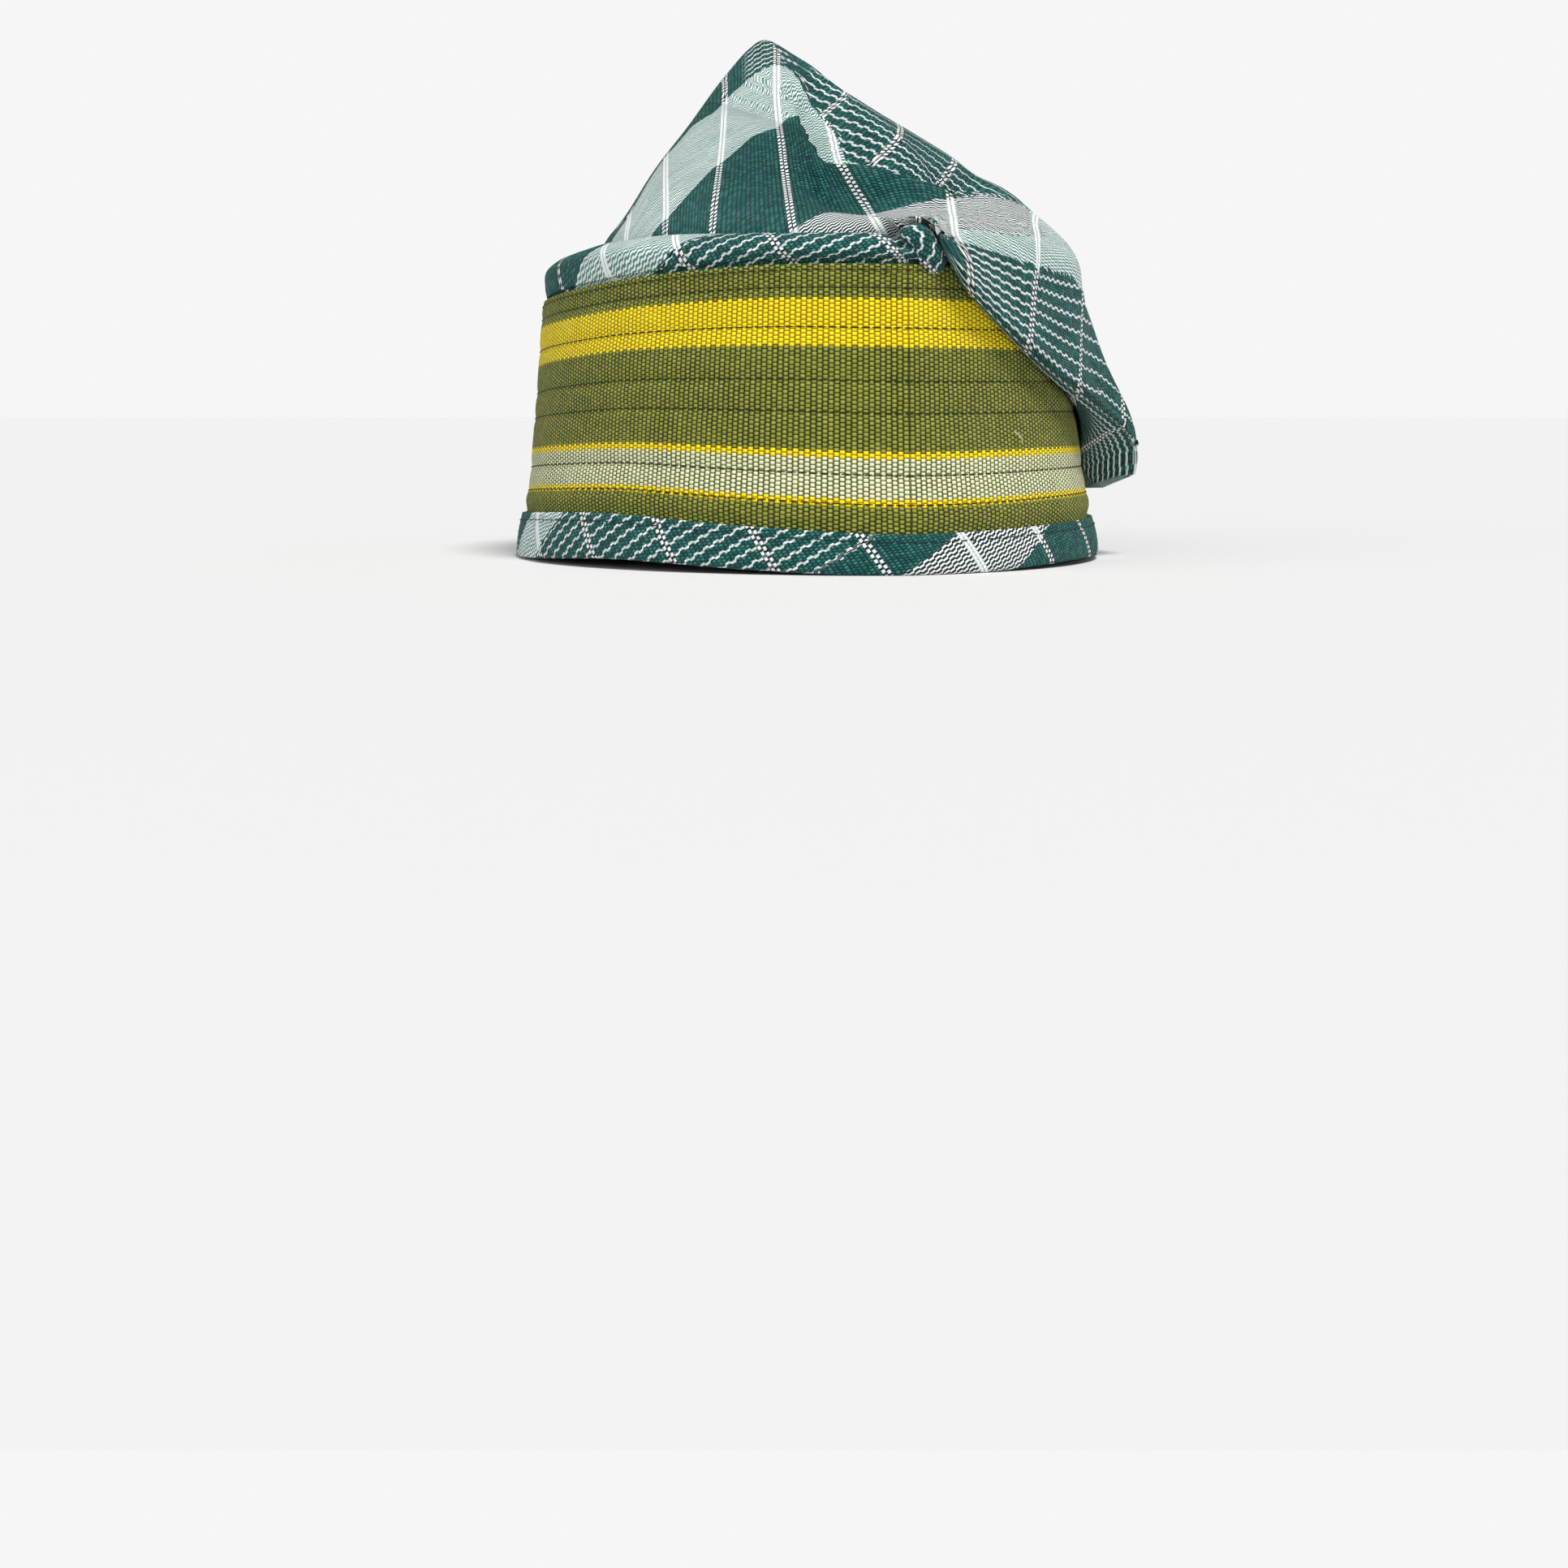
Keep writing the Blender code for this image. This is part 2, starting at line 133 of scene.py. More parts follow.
# The photograph's view: its size, focal length and level row in pixels, the turn from the front, and
# the distance, the sideways step and the height above the floor in millimetres
PHOTO_SIZE, VIEW_FOCAL, LEVEL_ROW = 1932, 3000, 513
VIEW_TURN, VIEW_DISTANCE, VIEW_SIDE, VIEW_HEIGHT = radians(-16), 750.0, -6.0, 42.0
VIEW_DOWN = atan((PHOTO_SIZE / 2 - LEVEL_ROW) / VIEW_FOCAL)
VIEW_BACK = np.array([sin(VIEW_TURN), -cos(VIEW_TURN), 0])
VIEW_RIGHT = np.array([cos(VIEW_TURN), sin(VIEW_TURN), 0])
VIEW_TOWARD = -VIEW_BACK * cos(VIEW_DOWN) - np.array([0, 0, sin(VIEW_DOWN)])
VIEW_UP = np.cross(VIEW_RIGHT, VIEW_TOWARD)
VIEW_EYE = VIEW_BACK * VIEW_DISTANCE + VIEW_RIGHT * VIEW_SIDE + np.array([0, 0, VIEW_HEIGHT])

# Plaid: pairs of white threads cross the cloth this far apart, and further apart past a given pair
PAIR_SPACING, WIDER_ON_FLAP, LAST_NARROW_PAIR = 21.5, 9.0, 8
# Where each pair lies on the crown: x of pair 0, 1, 2 and so on. Pairs lean by PAIR_LEAN above a height,
# and stand upright past the second x
PAIR_X = [-62.0, -58.2, -52.0, -42.0, -28.0, -5.5, 20.0, 42.0, 60.0, 82.0, 104.0]
PAIR_LEAN, LEAN_HEIGHT, LEAN_ENDS = 0.3, 91, (-20, 18)
# and where the photograph shows it: its place across, at five heights in that view
PAIR_ROWS = (110, 200, 290, 322, 430)
PAIR_SEEN = [
    (700, 740, 800, 823, 893, 957, 1008, 1158, 1266, 1331, 1384, 1410),
    (680, 734, 786, 822, 886, 965, 1033, 1167, 1270, 1331, 1384, 1410),
    (660, 728, 771, 819, 876, 978, 1089, 1176, 1279, 1331, 1384, 1410),
    (660, 728, 771, 819, 876, 978, 1095, 1193, 1280, 1331, 1384, 1410),
    (660, 728, 771, 819, 876, 978, 1095, 1204, 1267, 1331, 1384, 1410),
]
# A zone's number says its cloth: 0 pale, 1 plain dark, 2 dense white, 3 and up striped dark, with the share
# of the way through it behind the point. Below 0 the cloth is dark, and striped past the fourth pair.
PLAIN_ZONE, STRIPED_ZONE = 1, 3
STRIPES_IN_ZONE = 7
# On the flap's outer face the zones follow its folded edge: lengths from that edge where they end
EDGE_LENGTHS, EDGE_ZONES = (0, 34, 52, 78, 100, 126), (4.07, 3, 2, 1, 0, -1)
# Pairs on the striped cloth behind the peak: their lean and spacing, and where (x, z) one of them lies
BEHIND_LEAN, BEHIND_SPACING, BEHIND_PAIR, BEHIND_PLACE = 1.2, 27.0, 5, (-23, 112)
# That cloth's upper outline in the photograph's view, and how far apart its lines lie, where it shows and
# in millimetres where it is hidden
BEHIND_OUTLINE = [(930, 50), (1000, 97), (1060, 128), (1130, 170), (1200, 218), (1263, 262), (1303, 304)]
BEHIND_PITCH, HIDDEN_PITCH = 12.5, 3.6
VIEW_SHARE = 0.86       # how far the lines that show keep to that view, not to the cloth's own length
LINE_LIMITS, LINE_SHIFT = (-0.6, 1.93), -2      # the lines' zones, and the shift that puts them below 0
# Where that cloth lies, by x: from its start, by the table of zones up to a place, over the crest between
# two places, and with its own pairs from and to
BEHIND_START, BY_TABLE_TO, OVER_CREST = -12, 5, (-10, 52)
OWN_PAIRS_FROM, OWN_PAIRS_TO = (-14, -6), (35, 50)
# Flap: its white lines fan out from a point in the photograph's view, between two slopes
FAN_MIDDLE = (1105, 275)
FAN_TOP, FAN_EDGE, FAN_STRIPES = 0.28, 0.6, 8
FAN_UNDER, UNDER_PITCH = 34.0, 2.3      # on the under side, millimetres for a zone and for a line
# The flap starts past these: this far beside the middle of the fan, this x, and surely at the second x
FLAP_BESIDE, FLAP_X, FLAP_SURE_X = 4, 4, 62
# Between these x the crown goes over to the flap: past its outline, on its back and at its tip
FLAP_PAST, FLAP_BACK, FLAP_TIP = (46, 58), (40, 66), (82, 92)
# Past the outline, what the photograph shows dies away over these millimetres: its pairs and its zones
PAIRS_FADE, ZONES_FADE = 32, 30
# Pale cloth along the flap's outer fold: its edge in the photograph's view, as heights and places across
PALE_FOLD_Y = (262, 275, 307, 340, 400, 470, 505)
PALE_FOLD_X = (1262, 1280, 1292, 1320, 1350, 1364, 1400)
PALE_HEIGHTS, PALE_X, PALE_PAST_X = (256, 352), 50, 55      # it lies between these heights, past these x
# Pale cloth above the flap's lines: between two places across in that view, from this slope of the fan on
PALE_LAP = (1174, 1420, 0.07)
# How far the pale cloth of the fold goes on past what that view shows, by height there
PALE_PAST_Y, PALE_PAST = (256, 285, 320, 352), (3, 10, 9, 0)
# Where the plaid's zones end, by x: pale from pale_top to dark_top, plain dark to dense_top, dense white
# to striped_top, and striped dark to the folded edge, as lengths of cloth from the crest
Zones = namedtuple("Zones", "x pale_top dark_top dense_top striped_top edge")
FRONT_ZONES = [
    Zones(-62, 2, 34, 96, 125, 140),
    Zones(-42, 2, 34, 96, 125, 140),
    Zones(-36, 3, 35, 96, 125, 140),
    Zones(-31, 12, 38.5, 96, 124, 139),
    Zones(-26, 14, 42, 96, 122, 138),
    Zones(-19, 17, 51, 96.5, 118, 136),
    Zones(-14, 19.5, 54, 96.5, 116, 134),
    Zones(-11, 24, 71, 96.5, 114, 132),
    Zones(-6, 45, 71.5, 96, 112, 130),
    Zones(-3, 62, 71.5, 95, 110, 129),
    Zones(0, 71.7, 72, 93, 109, 128),
    Zones(11, 74.7, 75, 84, 117, 130),
    Zones(22, 71.2, 71.5, 75, 111, 126),
    Zones(31, 64.2, 64.5, 66, 104, 123),
    Zones(40, 60.2, 60.5, 61.2, 98, 120),
    Zones(60, 44.2, 44.5, 46, 66, 98),
    Zones(71, 38.2, 38.5, 40, 52, 83),
    Zones(84, 28.2, 28.5, 30, 36, 62),
    Zones(98, 6, 6.5, 8, 12, 34),
]
BACK_ZONES = [
    Zones(-62, 12, 34, 62, 90, 120),
    Zones(-30, 15, 48, 92, 116, 130),
    Zones(0, 26, 56, 92, 108, 122),
    Zones(22, 32, 56, 80, 100, 118),
    Zones(45, 26, 46, 62, 82, 108),
    Zones(70, 16, 32, 44, 58, 82),
    Zones(98, 8, 15, 20, 26, 34),
]


def mix(start, end, share):
    return start + (end - start) * share


def limit(value, low=0.0, high=1.0):
    return min(max(value, low), high)


def soft_step(value, start, end):
    """0 before start, 1 after end, smooth between; works on arrays."""
    t = np.clip((value - start) / (end - start), 0, 1)
    return t * t * (3 - 2 * t)


def turned(angle):
    """The same angle, from -180 up to 180."""
    return (angle + 180) % 360 - 180


def level(angle, column):
    """A column of LEVELS at an angle, on a smooth closed curve through the rows."""
    count = len(LEVELS)
    place = turned(angle)
    k = max(i for i in range(count) if LEVELS[i].angle <= place + 1e-9)

    def angle_at(i):
        return LEVELS[i % count].angle + 360 * (i // count)

    def value_at(i):
        return getattr(LEVELS[i % count], column)

    def slope_at(i):
        return (value_at(i + 1) - value_at(i - 1)) / (angle_at(i + 1) - angle_at(i - 1))

    width = angle_at(k + 1) - angle_at(k)
    t = (place - angle_at(k)) / width
    blend = 3 * t ** 2 - 2 * t ** 3
    bend = (t ** 3 - 2 * t ** 2 + t) * slope_at(k) + (t ** 3 - t ** 2) * slope_at(k + 1)
    value = mix(value_at(k), value_at(k + 1), blend) + bend * width
    return max(value, 0.0) if column == "hem_bottom" else value


def half_sizes(height, left):
    up = limit(height / BAND_HEIGHT, 0.0, 1.15)
    widths = HALF_WIDTH_LEFT if left else HALF_WIDTH_RIGHT
    return mix(*widths, up), mix(*HALF_LENGTH, up)


def oval_shape(turn):
    """The oval of unit size at a turn in radians from the front crease, pointed at front and back."""
    straight = 1 - abs(turn) / (pi / 2)
    return sin(turn), -((1 - CREASE) * cos(turn) + CREASE * straight)


def on_band(angle, offset, height):
    """Point at an offset from the band's outer face."""
    turn = radians(turned(angle))
    width, length = half_sizes(height, sin(turn) > 0)
    x, y = oval_shape(turn)
    return np.array([(width + offset) * x, (length + offset) * y, height])


def place_on_band(point):
    """Angle, offset and height of a point: on_band turned round, in a few steps."""
    x, y, height = point
    width, length = half_sizes(height, x > 0)
    offset, turn = 0.0, 0.0
    for _ in range(12):
        goal = atan2(x / (width + offset), -y / (length + offset))
        turn = goal
        for _ in range(4):
            side, front = oval_shape(turn)
            turn += goal - atan2(side, -front)
        side, front = oval_shape(turn)
        offset += hypot(x, y) - hypot((width + offset) * side, (length + offset) * front)
        offset = max(offset, 5 - width)
    return degrees(turn), offset, height


def angles():
    return [360.0 * i / COLUMNS for i in range(COLUMNS)]


def bezier(start, pull, push, end, t):
    u = 1 - t
    return u ** 3 * start + 3 * u * u * t * pull + 3 * u * t * t * push + t ** 3 * end


def between(rows, place):
    """Smooth curve through rows of points, at a row number with a fraction."""
    k = min(int(place), len(rows) - 2)
    t = place - k
    start, end = rows[k], rows[k + 1]
    before = rows[k - 1] if k else 2 * start - end
    after = rows[k + 2] if k + 2 < len(rows) else 2 * end - start
    return bezier(start, start + (end - before) / 6, end - (after - start) / 6, end, t)


def sewn_ring(ring):
    points = []
    for angle in angles():
        left = max(sin(radians(angle)), 0.0) ** 0.6
        offset = mix(ring.offset, ring.left_offset, left)
        points.append(on_band(angle, offset, mix(ring.height, ring.left_height, left)))
    return np.array(points)


def nose(distance):
    """Half thickness of the folded edge at a distance from it."""
    return min((2 * NOSE_RADIUS * distance) ** 0.5, NOSE)


def under_side(row, angle):
    """Side of a row that lies on the band; angle 0 is its front edge, 180 its back edge."""
    edge = row.front if angle <= 90 else row.back
    share = 1 - (1 - abs(angle - 90) / 90) ** CLOSER_AT_EDGE
    distance = (1 - share) * abs(90 - edge.angle) * MM_PER_DEGREE
    offset = mix(row.under.offset, edge.offset, share ** 3) - nose(distance)
    return on_band(mix(90, edge.angle, share), max(row.under.offset, offset),
                   mix(row.under.height, edge.height, share ** 2))


def over_side(row, share, front):
    """Upper side of a row; share 0 is its middle and 1 its front or back edge."""
    edge = row.front if front else row.back
    reach = -row.reach[0] if front else row.reach[1]
    over = np.array(row.over, float)
    turn_height = max(row.shoulder, edge.height)
    risen = limit((turn_height - edge.height) / 12)
    turn_offset = mix(edge.offset, edge.offset * 0.15 + FOLDED_LAYERS, risen)
    shoulder = on_band(edge.angle, turn_offset, turn_height)
    lower = np.linalg.norm(shoulder - on_band(*edge))
    upper = np.linalg.norm(over - shoulder) * 1.12
    split = upper / (upper + lower)
    if share > split:
        drop = (share - split) / (1 - split)
        thick = nose((1 - drop) * lower)
        return on_band(edge.angle, mix(turn_offset, edge.offset + thick, drop ** 3),
                       mix(turn_height, edge.height, drop))
    pull = over + np.array([0, reach, 0])
    left, inward, up = row.turn
    push = shoulder + np.array([left, inward if front else -inward, up])
    return bezier(over, pull, push, shoulder, share / split)


def lie_on_rim(point, layers):
    """Moves a point of the crown out of the rolled rim, and of the layers below it at the flap."""
    if point[2] > 104 or abs(point[0]) + abs(point[1]) < 40:
        return point
    angle, offset, height = place_on_band(point)
    covered = limit(angle / 6) * limit((180 - angle) / 6)
    room = RIM_RADIUS + RIM_SLACK + layers * covered
    middle = level(angle, "rim_top") - RIM_RADIUS
    across, up = offset - RIM_MIDDLE, height - middle
    if up <= 0:
        return on_band(angle, RIM_MIDDLE + room, height) if 0 < across < room else point
    distance = hypot(across, up)
    if distance >= room:
        return point
    push = room / max(distance, 1e-6)
    return on_band(angle, RIM_MIDDLE + across * push, middle + up * push)


def normals(surface):
    """Outward directions at the points, as long as the faces there are large."""
    around = np.roll(surface, -1, axis=1) - np.roll(surface, 1, axis=1)
    return np.cross(around, np.gradient(surface, axis=0))


def in_view(surface):
    """Where points lie in the photograph, in its pixels."""
    away = surface - VIEW_EYE
    scale = VIEW_FOCAL / (away @ VIEW_TOWARD)
    return PHOTO_SIZE / 2 + (away @ VIEW_RIGHT) * scale, PHOTO_SIZE / 2 - (away @ VIEW_UP) * scale


def crown_row(row):
    points = []
    for angle in angles():
        if angle <= 180:
            points.append(under_side(row, angle))
        else:
            share = 1 - (1 - abs(angle - 270) / 90) ** CLOSER_AT_EDGE
            points.append(lie_on_rim(over_side(row, share, angle >= 270), FOLDED_LAYERS))
    return np.array(points)


def crown_surface():
    """Rings of the crown as an array (ring, column, xyz), before its folds."""
    table = [sewn_ring(ring) for ring in SEWN_RINGS] + [crown_row(row) for row in CROWN_ROWS]
    count = (len(table) - 1) * RINGS_BETWEEN
    surface = []
    for i in range(count + 1):
        ring = between(table, i / RINGS_BETWEEN)
        surface.append([lie_on_rim(point, FOLDED_LAYERS if angle > 180 else 0.0)
                        for point, angle in zip(ring, angles())])
    return np.array(surface)


# Folds of the crown's front. Each runs along a line of (across, height) as the photograph's view has it.
# above and below are how far the cloth stands out at the line's two sides, above_width and below_width
# how fast that dies away beside the line, and fade how fast past its ends.
Fold = namedtuple("Fold", "line above above_width below below_width fade")
FOLDS = [
    # the plaid laps over itself from the peak's right shoulder down to the flap's back
    Fold([(-3, 127), (1.8, 117), (5.5, 113.2), (16, 111.3), (28, 108.8), (39, 107.6), (47, 106.5)],
         -7.5, 9.0, 2.8, 7.0, 7.0),
    # valley between the lap and the striped cloth behind it
    Fold([(6, 134), (9, 127), (14, 118), (19, 113)], -2.4, 4.0, -2.4, 4.0, 6.0),
    # hollow below the lap
    Fold([(9, 106), (17, 101.5), (30, 103), (40, 104)], -9.0, 6.0, -9.0, 9.0, 9.0),
    # crease from the peak's pale shoulder to the hollow
    Fold([(-4, 118), (1, 110), (8, 103)], 1.5, 6.0, -1.0, 6.0, 6.0),
    # swell where the cloth turns down over the rim
    Fold([(44, 95), (54, 94), (66, 92)], 1.8, 5.0, 1.0, 5.0, 8.0),
]


def fold_front(surface):
    """Moves the front of the crown outward or inward by FOLDS."""
    x, y, z = surface[..., 0], surface[..., 1], surface[..., 2]
    seen = cos(VIEW_TURN) * x + sin(VIEW_TURN) * y
    fade = soft_step(z, 93, 101) * soft_step(-y, 2, 16)
    moved = np.zeros_like(x)
    for fold in FOLDS:
        line = np.array(fold.line, float)
        best = np.full(x.shape, 1e9)
        side, past = np.zeros_like(x), np.zeros_like(x)
        for i, (start, end) in enumerate(zip(line, line[1:])):
            run = end - start
            length = np.hypot(*run)
            along = ((seen - start[0]) * run[0] + (z - start[1]) * run[1]) / length
            held = np.clip(along, 0, length)
            distance = np.hypot(seen - start[0] - held * run[0] / length,
                                z - start[1] - held * run[1] / length)
            nearer = distance < best
            best = np.where(nearer, distance, best)
            across = ((z - start[1]) * run[0] - (seen - start[0]) * run[1]) / length
            side = np.where(nearer, across, side)
            beyond = np.maximum(-along if i == 0 else 0, along - length if i == len(line) - 2 else 0)
            past = np.where(nearer, np.maximum(beyond, 0), past)
        up = soft_step(side, -0.6, 0.9)
        rise = mix(fold.below, fold.above, up)
        width = mix(fold.below_width, fold.above_width, up)
        moved += rise * np.exp(-(side / width) ** 2 - (past / fold.fade) ** 2)
    moved *= fade
    return surface + moved[..., None] * np.array([0.0, -0.93, 0.36])


def ring_lengths(surface):
    """Length round each ring from column 0, and the step from each column to the next."""
    steps = np.linalg.norm(np.roll(surface, -1, axis=1) - surface, axis=2)
    forward = np.concatenate([np.zeros((len(surface), 1)), np.cumsum(steps, axis=1)[:, :-1]], axis=1)
    return forward, steps


def first_facing(surface):
    """For each ring, the first column past the crest that faces the photograph's camera."""
    facing = (normals(surface) * (VIEW_EYE - surface)).sum(2) > 0
    crest = 3 * COLUMNS // 4
    found = [crest + int(np.argmax(ring[crest:])) if ring[crest:].any() else COLUMNS - 1 for ring in facing]
    near = 5
    padded = np.pad(np.array(found, float), near, mode="edge")
    return np.array([np.median(padded[i:i + 2 * near + 1]) for i in range(len(found))]).astype(int)


def zone_from(table, x, length):
    """Zone numbers of a table of zones."""
    places = [row.x for row in table]
    ends = [np.interp(x, places, [row[i] for row in table]) for i in range(1, 6)]
    starts = [np.zeros_like(x)] + ends
    value = np.full(x.shape, -1.0)
    for i, (low, high) in enumerate(zip(starts, ends)):
        value = np.where(length >= low, i - 1 + (length - low) / (high - low), value)
    return np.where(length > ends[-1], 4 + (length - ends[-1]) / FAN_UNDER, value)


# Lengths from the crest and from the folded edge: how round their lines run at the corners
CREST_ROUND, EDGE_ROUND = 1.6, 5


def from_crest(surface):
    """Length of cloth from the crest to each point."""
    x, y, z = surface[..., 0], surface[..., 1], surface[..., 2]
    crest = np.array([row.over for row in CROWN_ROWS], float)
    middle, top = (np.interp(x, crest[:, 0], crest[:, k]) for k in (1, 2))
    length = (np.abs(y - middle) ** CREST_ROUND + np.maximum(top - z, 0) ** CREST_ROUND) ** (1 / CREST_ROUND)
    column, quarter, half = np.arange(COLUMNS), COLUMNS // 4, COLUMNS // 2
    length = np.where(column < quarter, length[:, :1] + ring_lengths(surface)[0], length)
    back_under = (column >= quarter) & (column < half)
    return np.where(back_under, length[:, half:half + 1] - rows_of_cloth(surface)[1], length)


def from_folded_edge(surface):
    """Length of cloth from the flap's folded edge at its front, back or tip, whichever is nearest."""
    on_crest = np.vstack([surface[:, 3 * COLUMNS // 4], TIP])
    steps = np.linalg.norm(np.diff(on_crest, axis=0), axis=1)
    from_tip = 2 * np.cumsum(steps[::-1])[::-1][:, None]
    lengths = (*rows_of_cloth(surface), from_tip)
    return sum(np.maximum(length, 0.5) ** -EDGE_ROUND for length in lengths) ** (-1 / EDGE_ROUND)


def rows_of_cloth(surface):
    """Length along each ring from the flap's front edge and from its back edge, for the weave."""
    forward, steps = ring_lengths(surface)
    whole = forward[:, -1:] + steps[:, -1:]
    half = forward[:, COLUMNS // 2:COLUMNS // 2 + 1]
    from_front = np.where(np.arange(COLUMNS) > COLUMNS // 2, whole - forward, -forward)
    return from_front, forward - half


def smooth_rings(values, size=9):
    """Running mean of a column of values, one for each ring."""
    padded = np.pad(values[:, 0], size // 2, mode="edge")
    return np.convolve(padded, np.ones(size) / size, mode="valid")[:, None]


# How the plaid lies on a part of the crown: by table, on the cloth behind the peak, as the fan on the
# flap, on pale cloth and on the flap's under side
BY_TABLE, BEHIND, FAN, PALE, UNDER = range(5)


def plaid_of_crown(surface):
    """Number of pairs across and zone at each point, for each way in which the plaid lies, and the way
    that each face has."""
    x, z = surface[..., 0], surface[..., 2]
    turn = np.tile(np.array(angles()), (len(surface), 1))
    column = np.tile(np.arange(COLUMNS), (len(surface), 1))
    forward, _ = ring_lengths(surface)
    front_under, back_under, on_front = turn < 90, (turn >= 90) & (turn < 180), turn > 270
    length = from_crest(surface)
    front_zone, back_zone = zone_from(FRONT_ZONES, x, length), zone_from(BACK_ZONES, x, length)
    edge_zone = np.interp(from_folded_edge(surface), EDGE_LENGTHS, EDGE_ZONES)
    edge_zone = np.where(back_under, EDGE_ZONES[0] - rows_of_cloth(surface)[1] / FAN_UNDER, edge_zone)

    # what the photograph shows: turned toward it, from the crest's outline down to the folded edge
    seen_x, seen_y = in_view(surface)
    start = first_facing(surface)[:, None]
    shown = column >= start
    shown[:, 0] = True
    hidden = (turn >= 270) & ~shown

    def first(values):
        """Values where the part that shows starts, one for each ring."""
        return np.take_along_axis(values, start, axis=1)

    past = smooth_rings(first(forward), 15) - forward
    x_start = first(x)
    flap = soft_step(smooth_rings(x_start), *FLAP_PAST)

    # pairs by x, as seen from no side in particular, and as the photograph shows them
    leaning = x - PAIR_LEAN * np.maximum(z - LEAN_HEIGHT, 0) * (1 - soft_step(x, *LEAN_ENDS))
    plain_pairs = np.interp(leaning, PAIR_X, range(len(PAIR_X)))
    places = [np.interp(seen_y, PAIR_ROWS, across) for across in zip(*PAIR_SEEN)]
    seen_pairs = sum(np.clip((seen_x - left) / np.maximum(right - left, 1), 0, 1)
                     for left, right in zip(places, places[1:]))
    behind_x, behind_z = BEHIND_PLACE
    behind_pairs = (x - BEHIND_LEAN * (z - behind_z) - behind_x) / BEHIND_SPACING + BEHIND_PAIR

    def carried_on(pairs):
        """Pairs that go on as they are past the flap's outline, and elsewhere die into the plain ones."""
        step = smooth_rings(first(pairs - plain_pairs))
        dying = plain_pairs + step * (1 - soft_step(past, 0, PAIRS_FADE)) * (turn >= 270)
        return np.where(shown, pairs, mix(dying, smooth_rings(first(pairs)), flap))

    pairs = carried_on(seen_pairs)
    under = mix(plain_pairs + (seen_pairs - plain_pairs)[:, :1], seen_pairs[:, :1] + 0 * x, flap)
    pairs = np.where(front_under & ~shown, under, pairs)
    own = soft_step(x, *OWN_PAIRS_FROM) * (1 - soft_step(x, *OWN_PAIRS_TO))
    pairs_behind = carried_on(mix(seen_pairs, behind_pairs, own))

    # striped cloth behind the peak, which goes on over the crest
    outline = np.interp(seen_x, *zip(*BEHIND_OUTLINE))
    by_view = np.maximum.accumulate(np.where(column >= start, seen_y - outline, -1e3), axis=1)
    by_view = np.where(column >= start, by_view, 0) / BEHIND_PITCH
    lines = mix(-past / HIDDEN_PITCH, by_view, VIEW_SHARE) / STRIPES_IN_ZONE
    lines = np.clip(lines, *LINE_LIMITS) + LINE_SHIFT
    striped_front = (front_zone < 0) & (column >= start) & on_front
    last = COLUMNS - np.argmax(striped_front[:, ::-1], axis=1)[:, None].astype(float)
    last = smooth_rings(np.where(striped_front.any(axis=1)[:, None], last, 0), 5)
    is_behind = np.where(x < BY_TABLE_TO, front_zone < 0, column < last) & (x > BEHIND_START)
    is_behind &= shown & on_front
    behind = np.where(shown, lines, smooth_rings(first(lines)) - past / (STRIPES_IN_ZONE * HIDDEN_PITCH))
    striped = (first(front_zone) < 0) & (x_start > OVER_CREST[0]) & (x_start < OVER_CREST[1])
    pale_top = np.interp(x, [row.x for row in BACK_ZONES], [row.pale_top for row in BACK_ZONES])
    down_back = (turn > 180) & (turn < 270) & striped & (length < pale_top)

    # flap: lines that fan out from the knot
    slope = (seen_y - FAN_MIDDLE[1]) / np.maximum(seen_x - FAN_MIDDLE[0], 3)
    at_edge = np.maximum(slope[:, :1], FAN_EDGE)
    fan = STRIPED_ZONE + (slope - FAN_TOP) / (at_edge - FAN_TOP) * FAN_STRIPES / STRIPES_IN_ZONE
    past_knot = (seen_x > FAN_MIDDLE[0] + FLAP_BESIDE) & (x > FLAP_X) & (front_zone > PLAIN_ZONE + 0.5)
    on_flap = shown & (past_knot | (x > FLAP_SURE_X))
    is_fan = on_flap & (slope > FAN_TOP)
    zone = np.where(on_flap & ~is_fan, np.minimum(front_zone, STRIPED_ZONE - 0.03), front_zone)
    # past the outline its zones go over to those that follow the folded edge
    step = smooth_rings(first(np.where(is_fan, fan, zone) - edge_zone), 25)
    step *= 1 - soft_step(x_start, *FLAP_TIP)
    round_flap = edge_zone + step * (1 - soft_step(past, 0, ZONES_FADE)) * (turn >= 270)
    on_back = mix(back_zone, round_flap, np.where(turn >= 270, flap, soft_step(x, *FLAP_BACK)))
    zone = np.where(on_front & shown | front_under, zone, on_back)
    zone[:, 0] = front_zone[:, 0]

    # pale cloth along the outer fold and above the fan
    low, high = PALE_HEIGHTS
    along_fold = (seen_x > np.interp(seen_y, PALE_FOLD_Y, PALE_FOLD_X)) & (seen_y > low) & (seen_y < high)
    is_pale = along_fold & shown & on_front & (x > PALE_X) & (front_zone > PLAIN_ZONE + 0.5)
    left, right, lap_slope = PALE_LAP
    is_pale |= on_flap & (seen_x > left) & (seen_x < right) & (slope > lap_slope) & (slope < FAN_TOP)
    reach = smooth_rings(np.interp(first(seen_y), PALE_PAST_Y, PALE_PAST)) * (x_start > PALE_PAST_X)
    is_pale |= hidden & (past < reach)

    way = np.full(x.shape, BY_TABLE)
    way[is_behind | down_back | hidden & striped] = BEHIND
    way[is_fan & on_front] = FAN
    way[is_pale] = PALE
    way[front_under & (x > FLAP_X)] = UNDER
    pairs_of = [pairs, pairs_behind, pairs, pairs, under]
    below = STRIPED_ZONE + (FAN_STRIPES + forward / UNDER_PITCH) / STRIPES_IN_ZONE
    zones_of = [zone, behind, fan, np.full(x.shape, 0.5), below]
    return np.array(pairs_of), np.array(zones_of), way


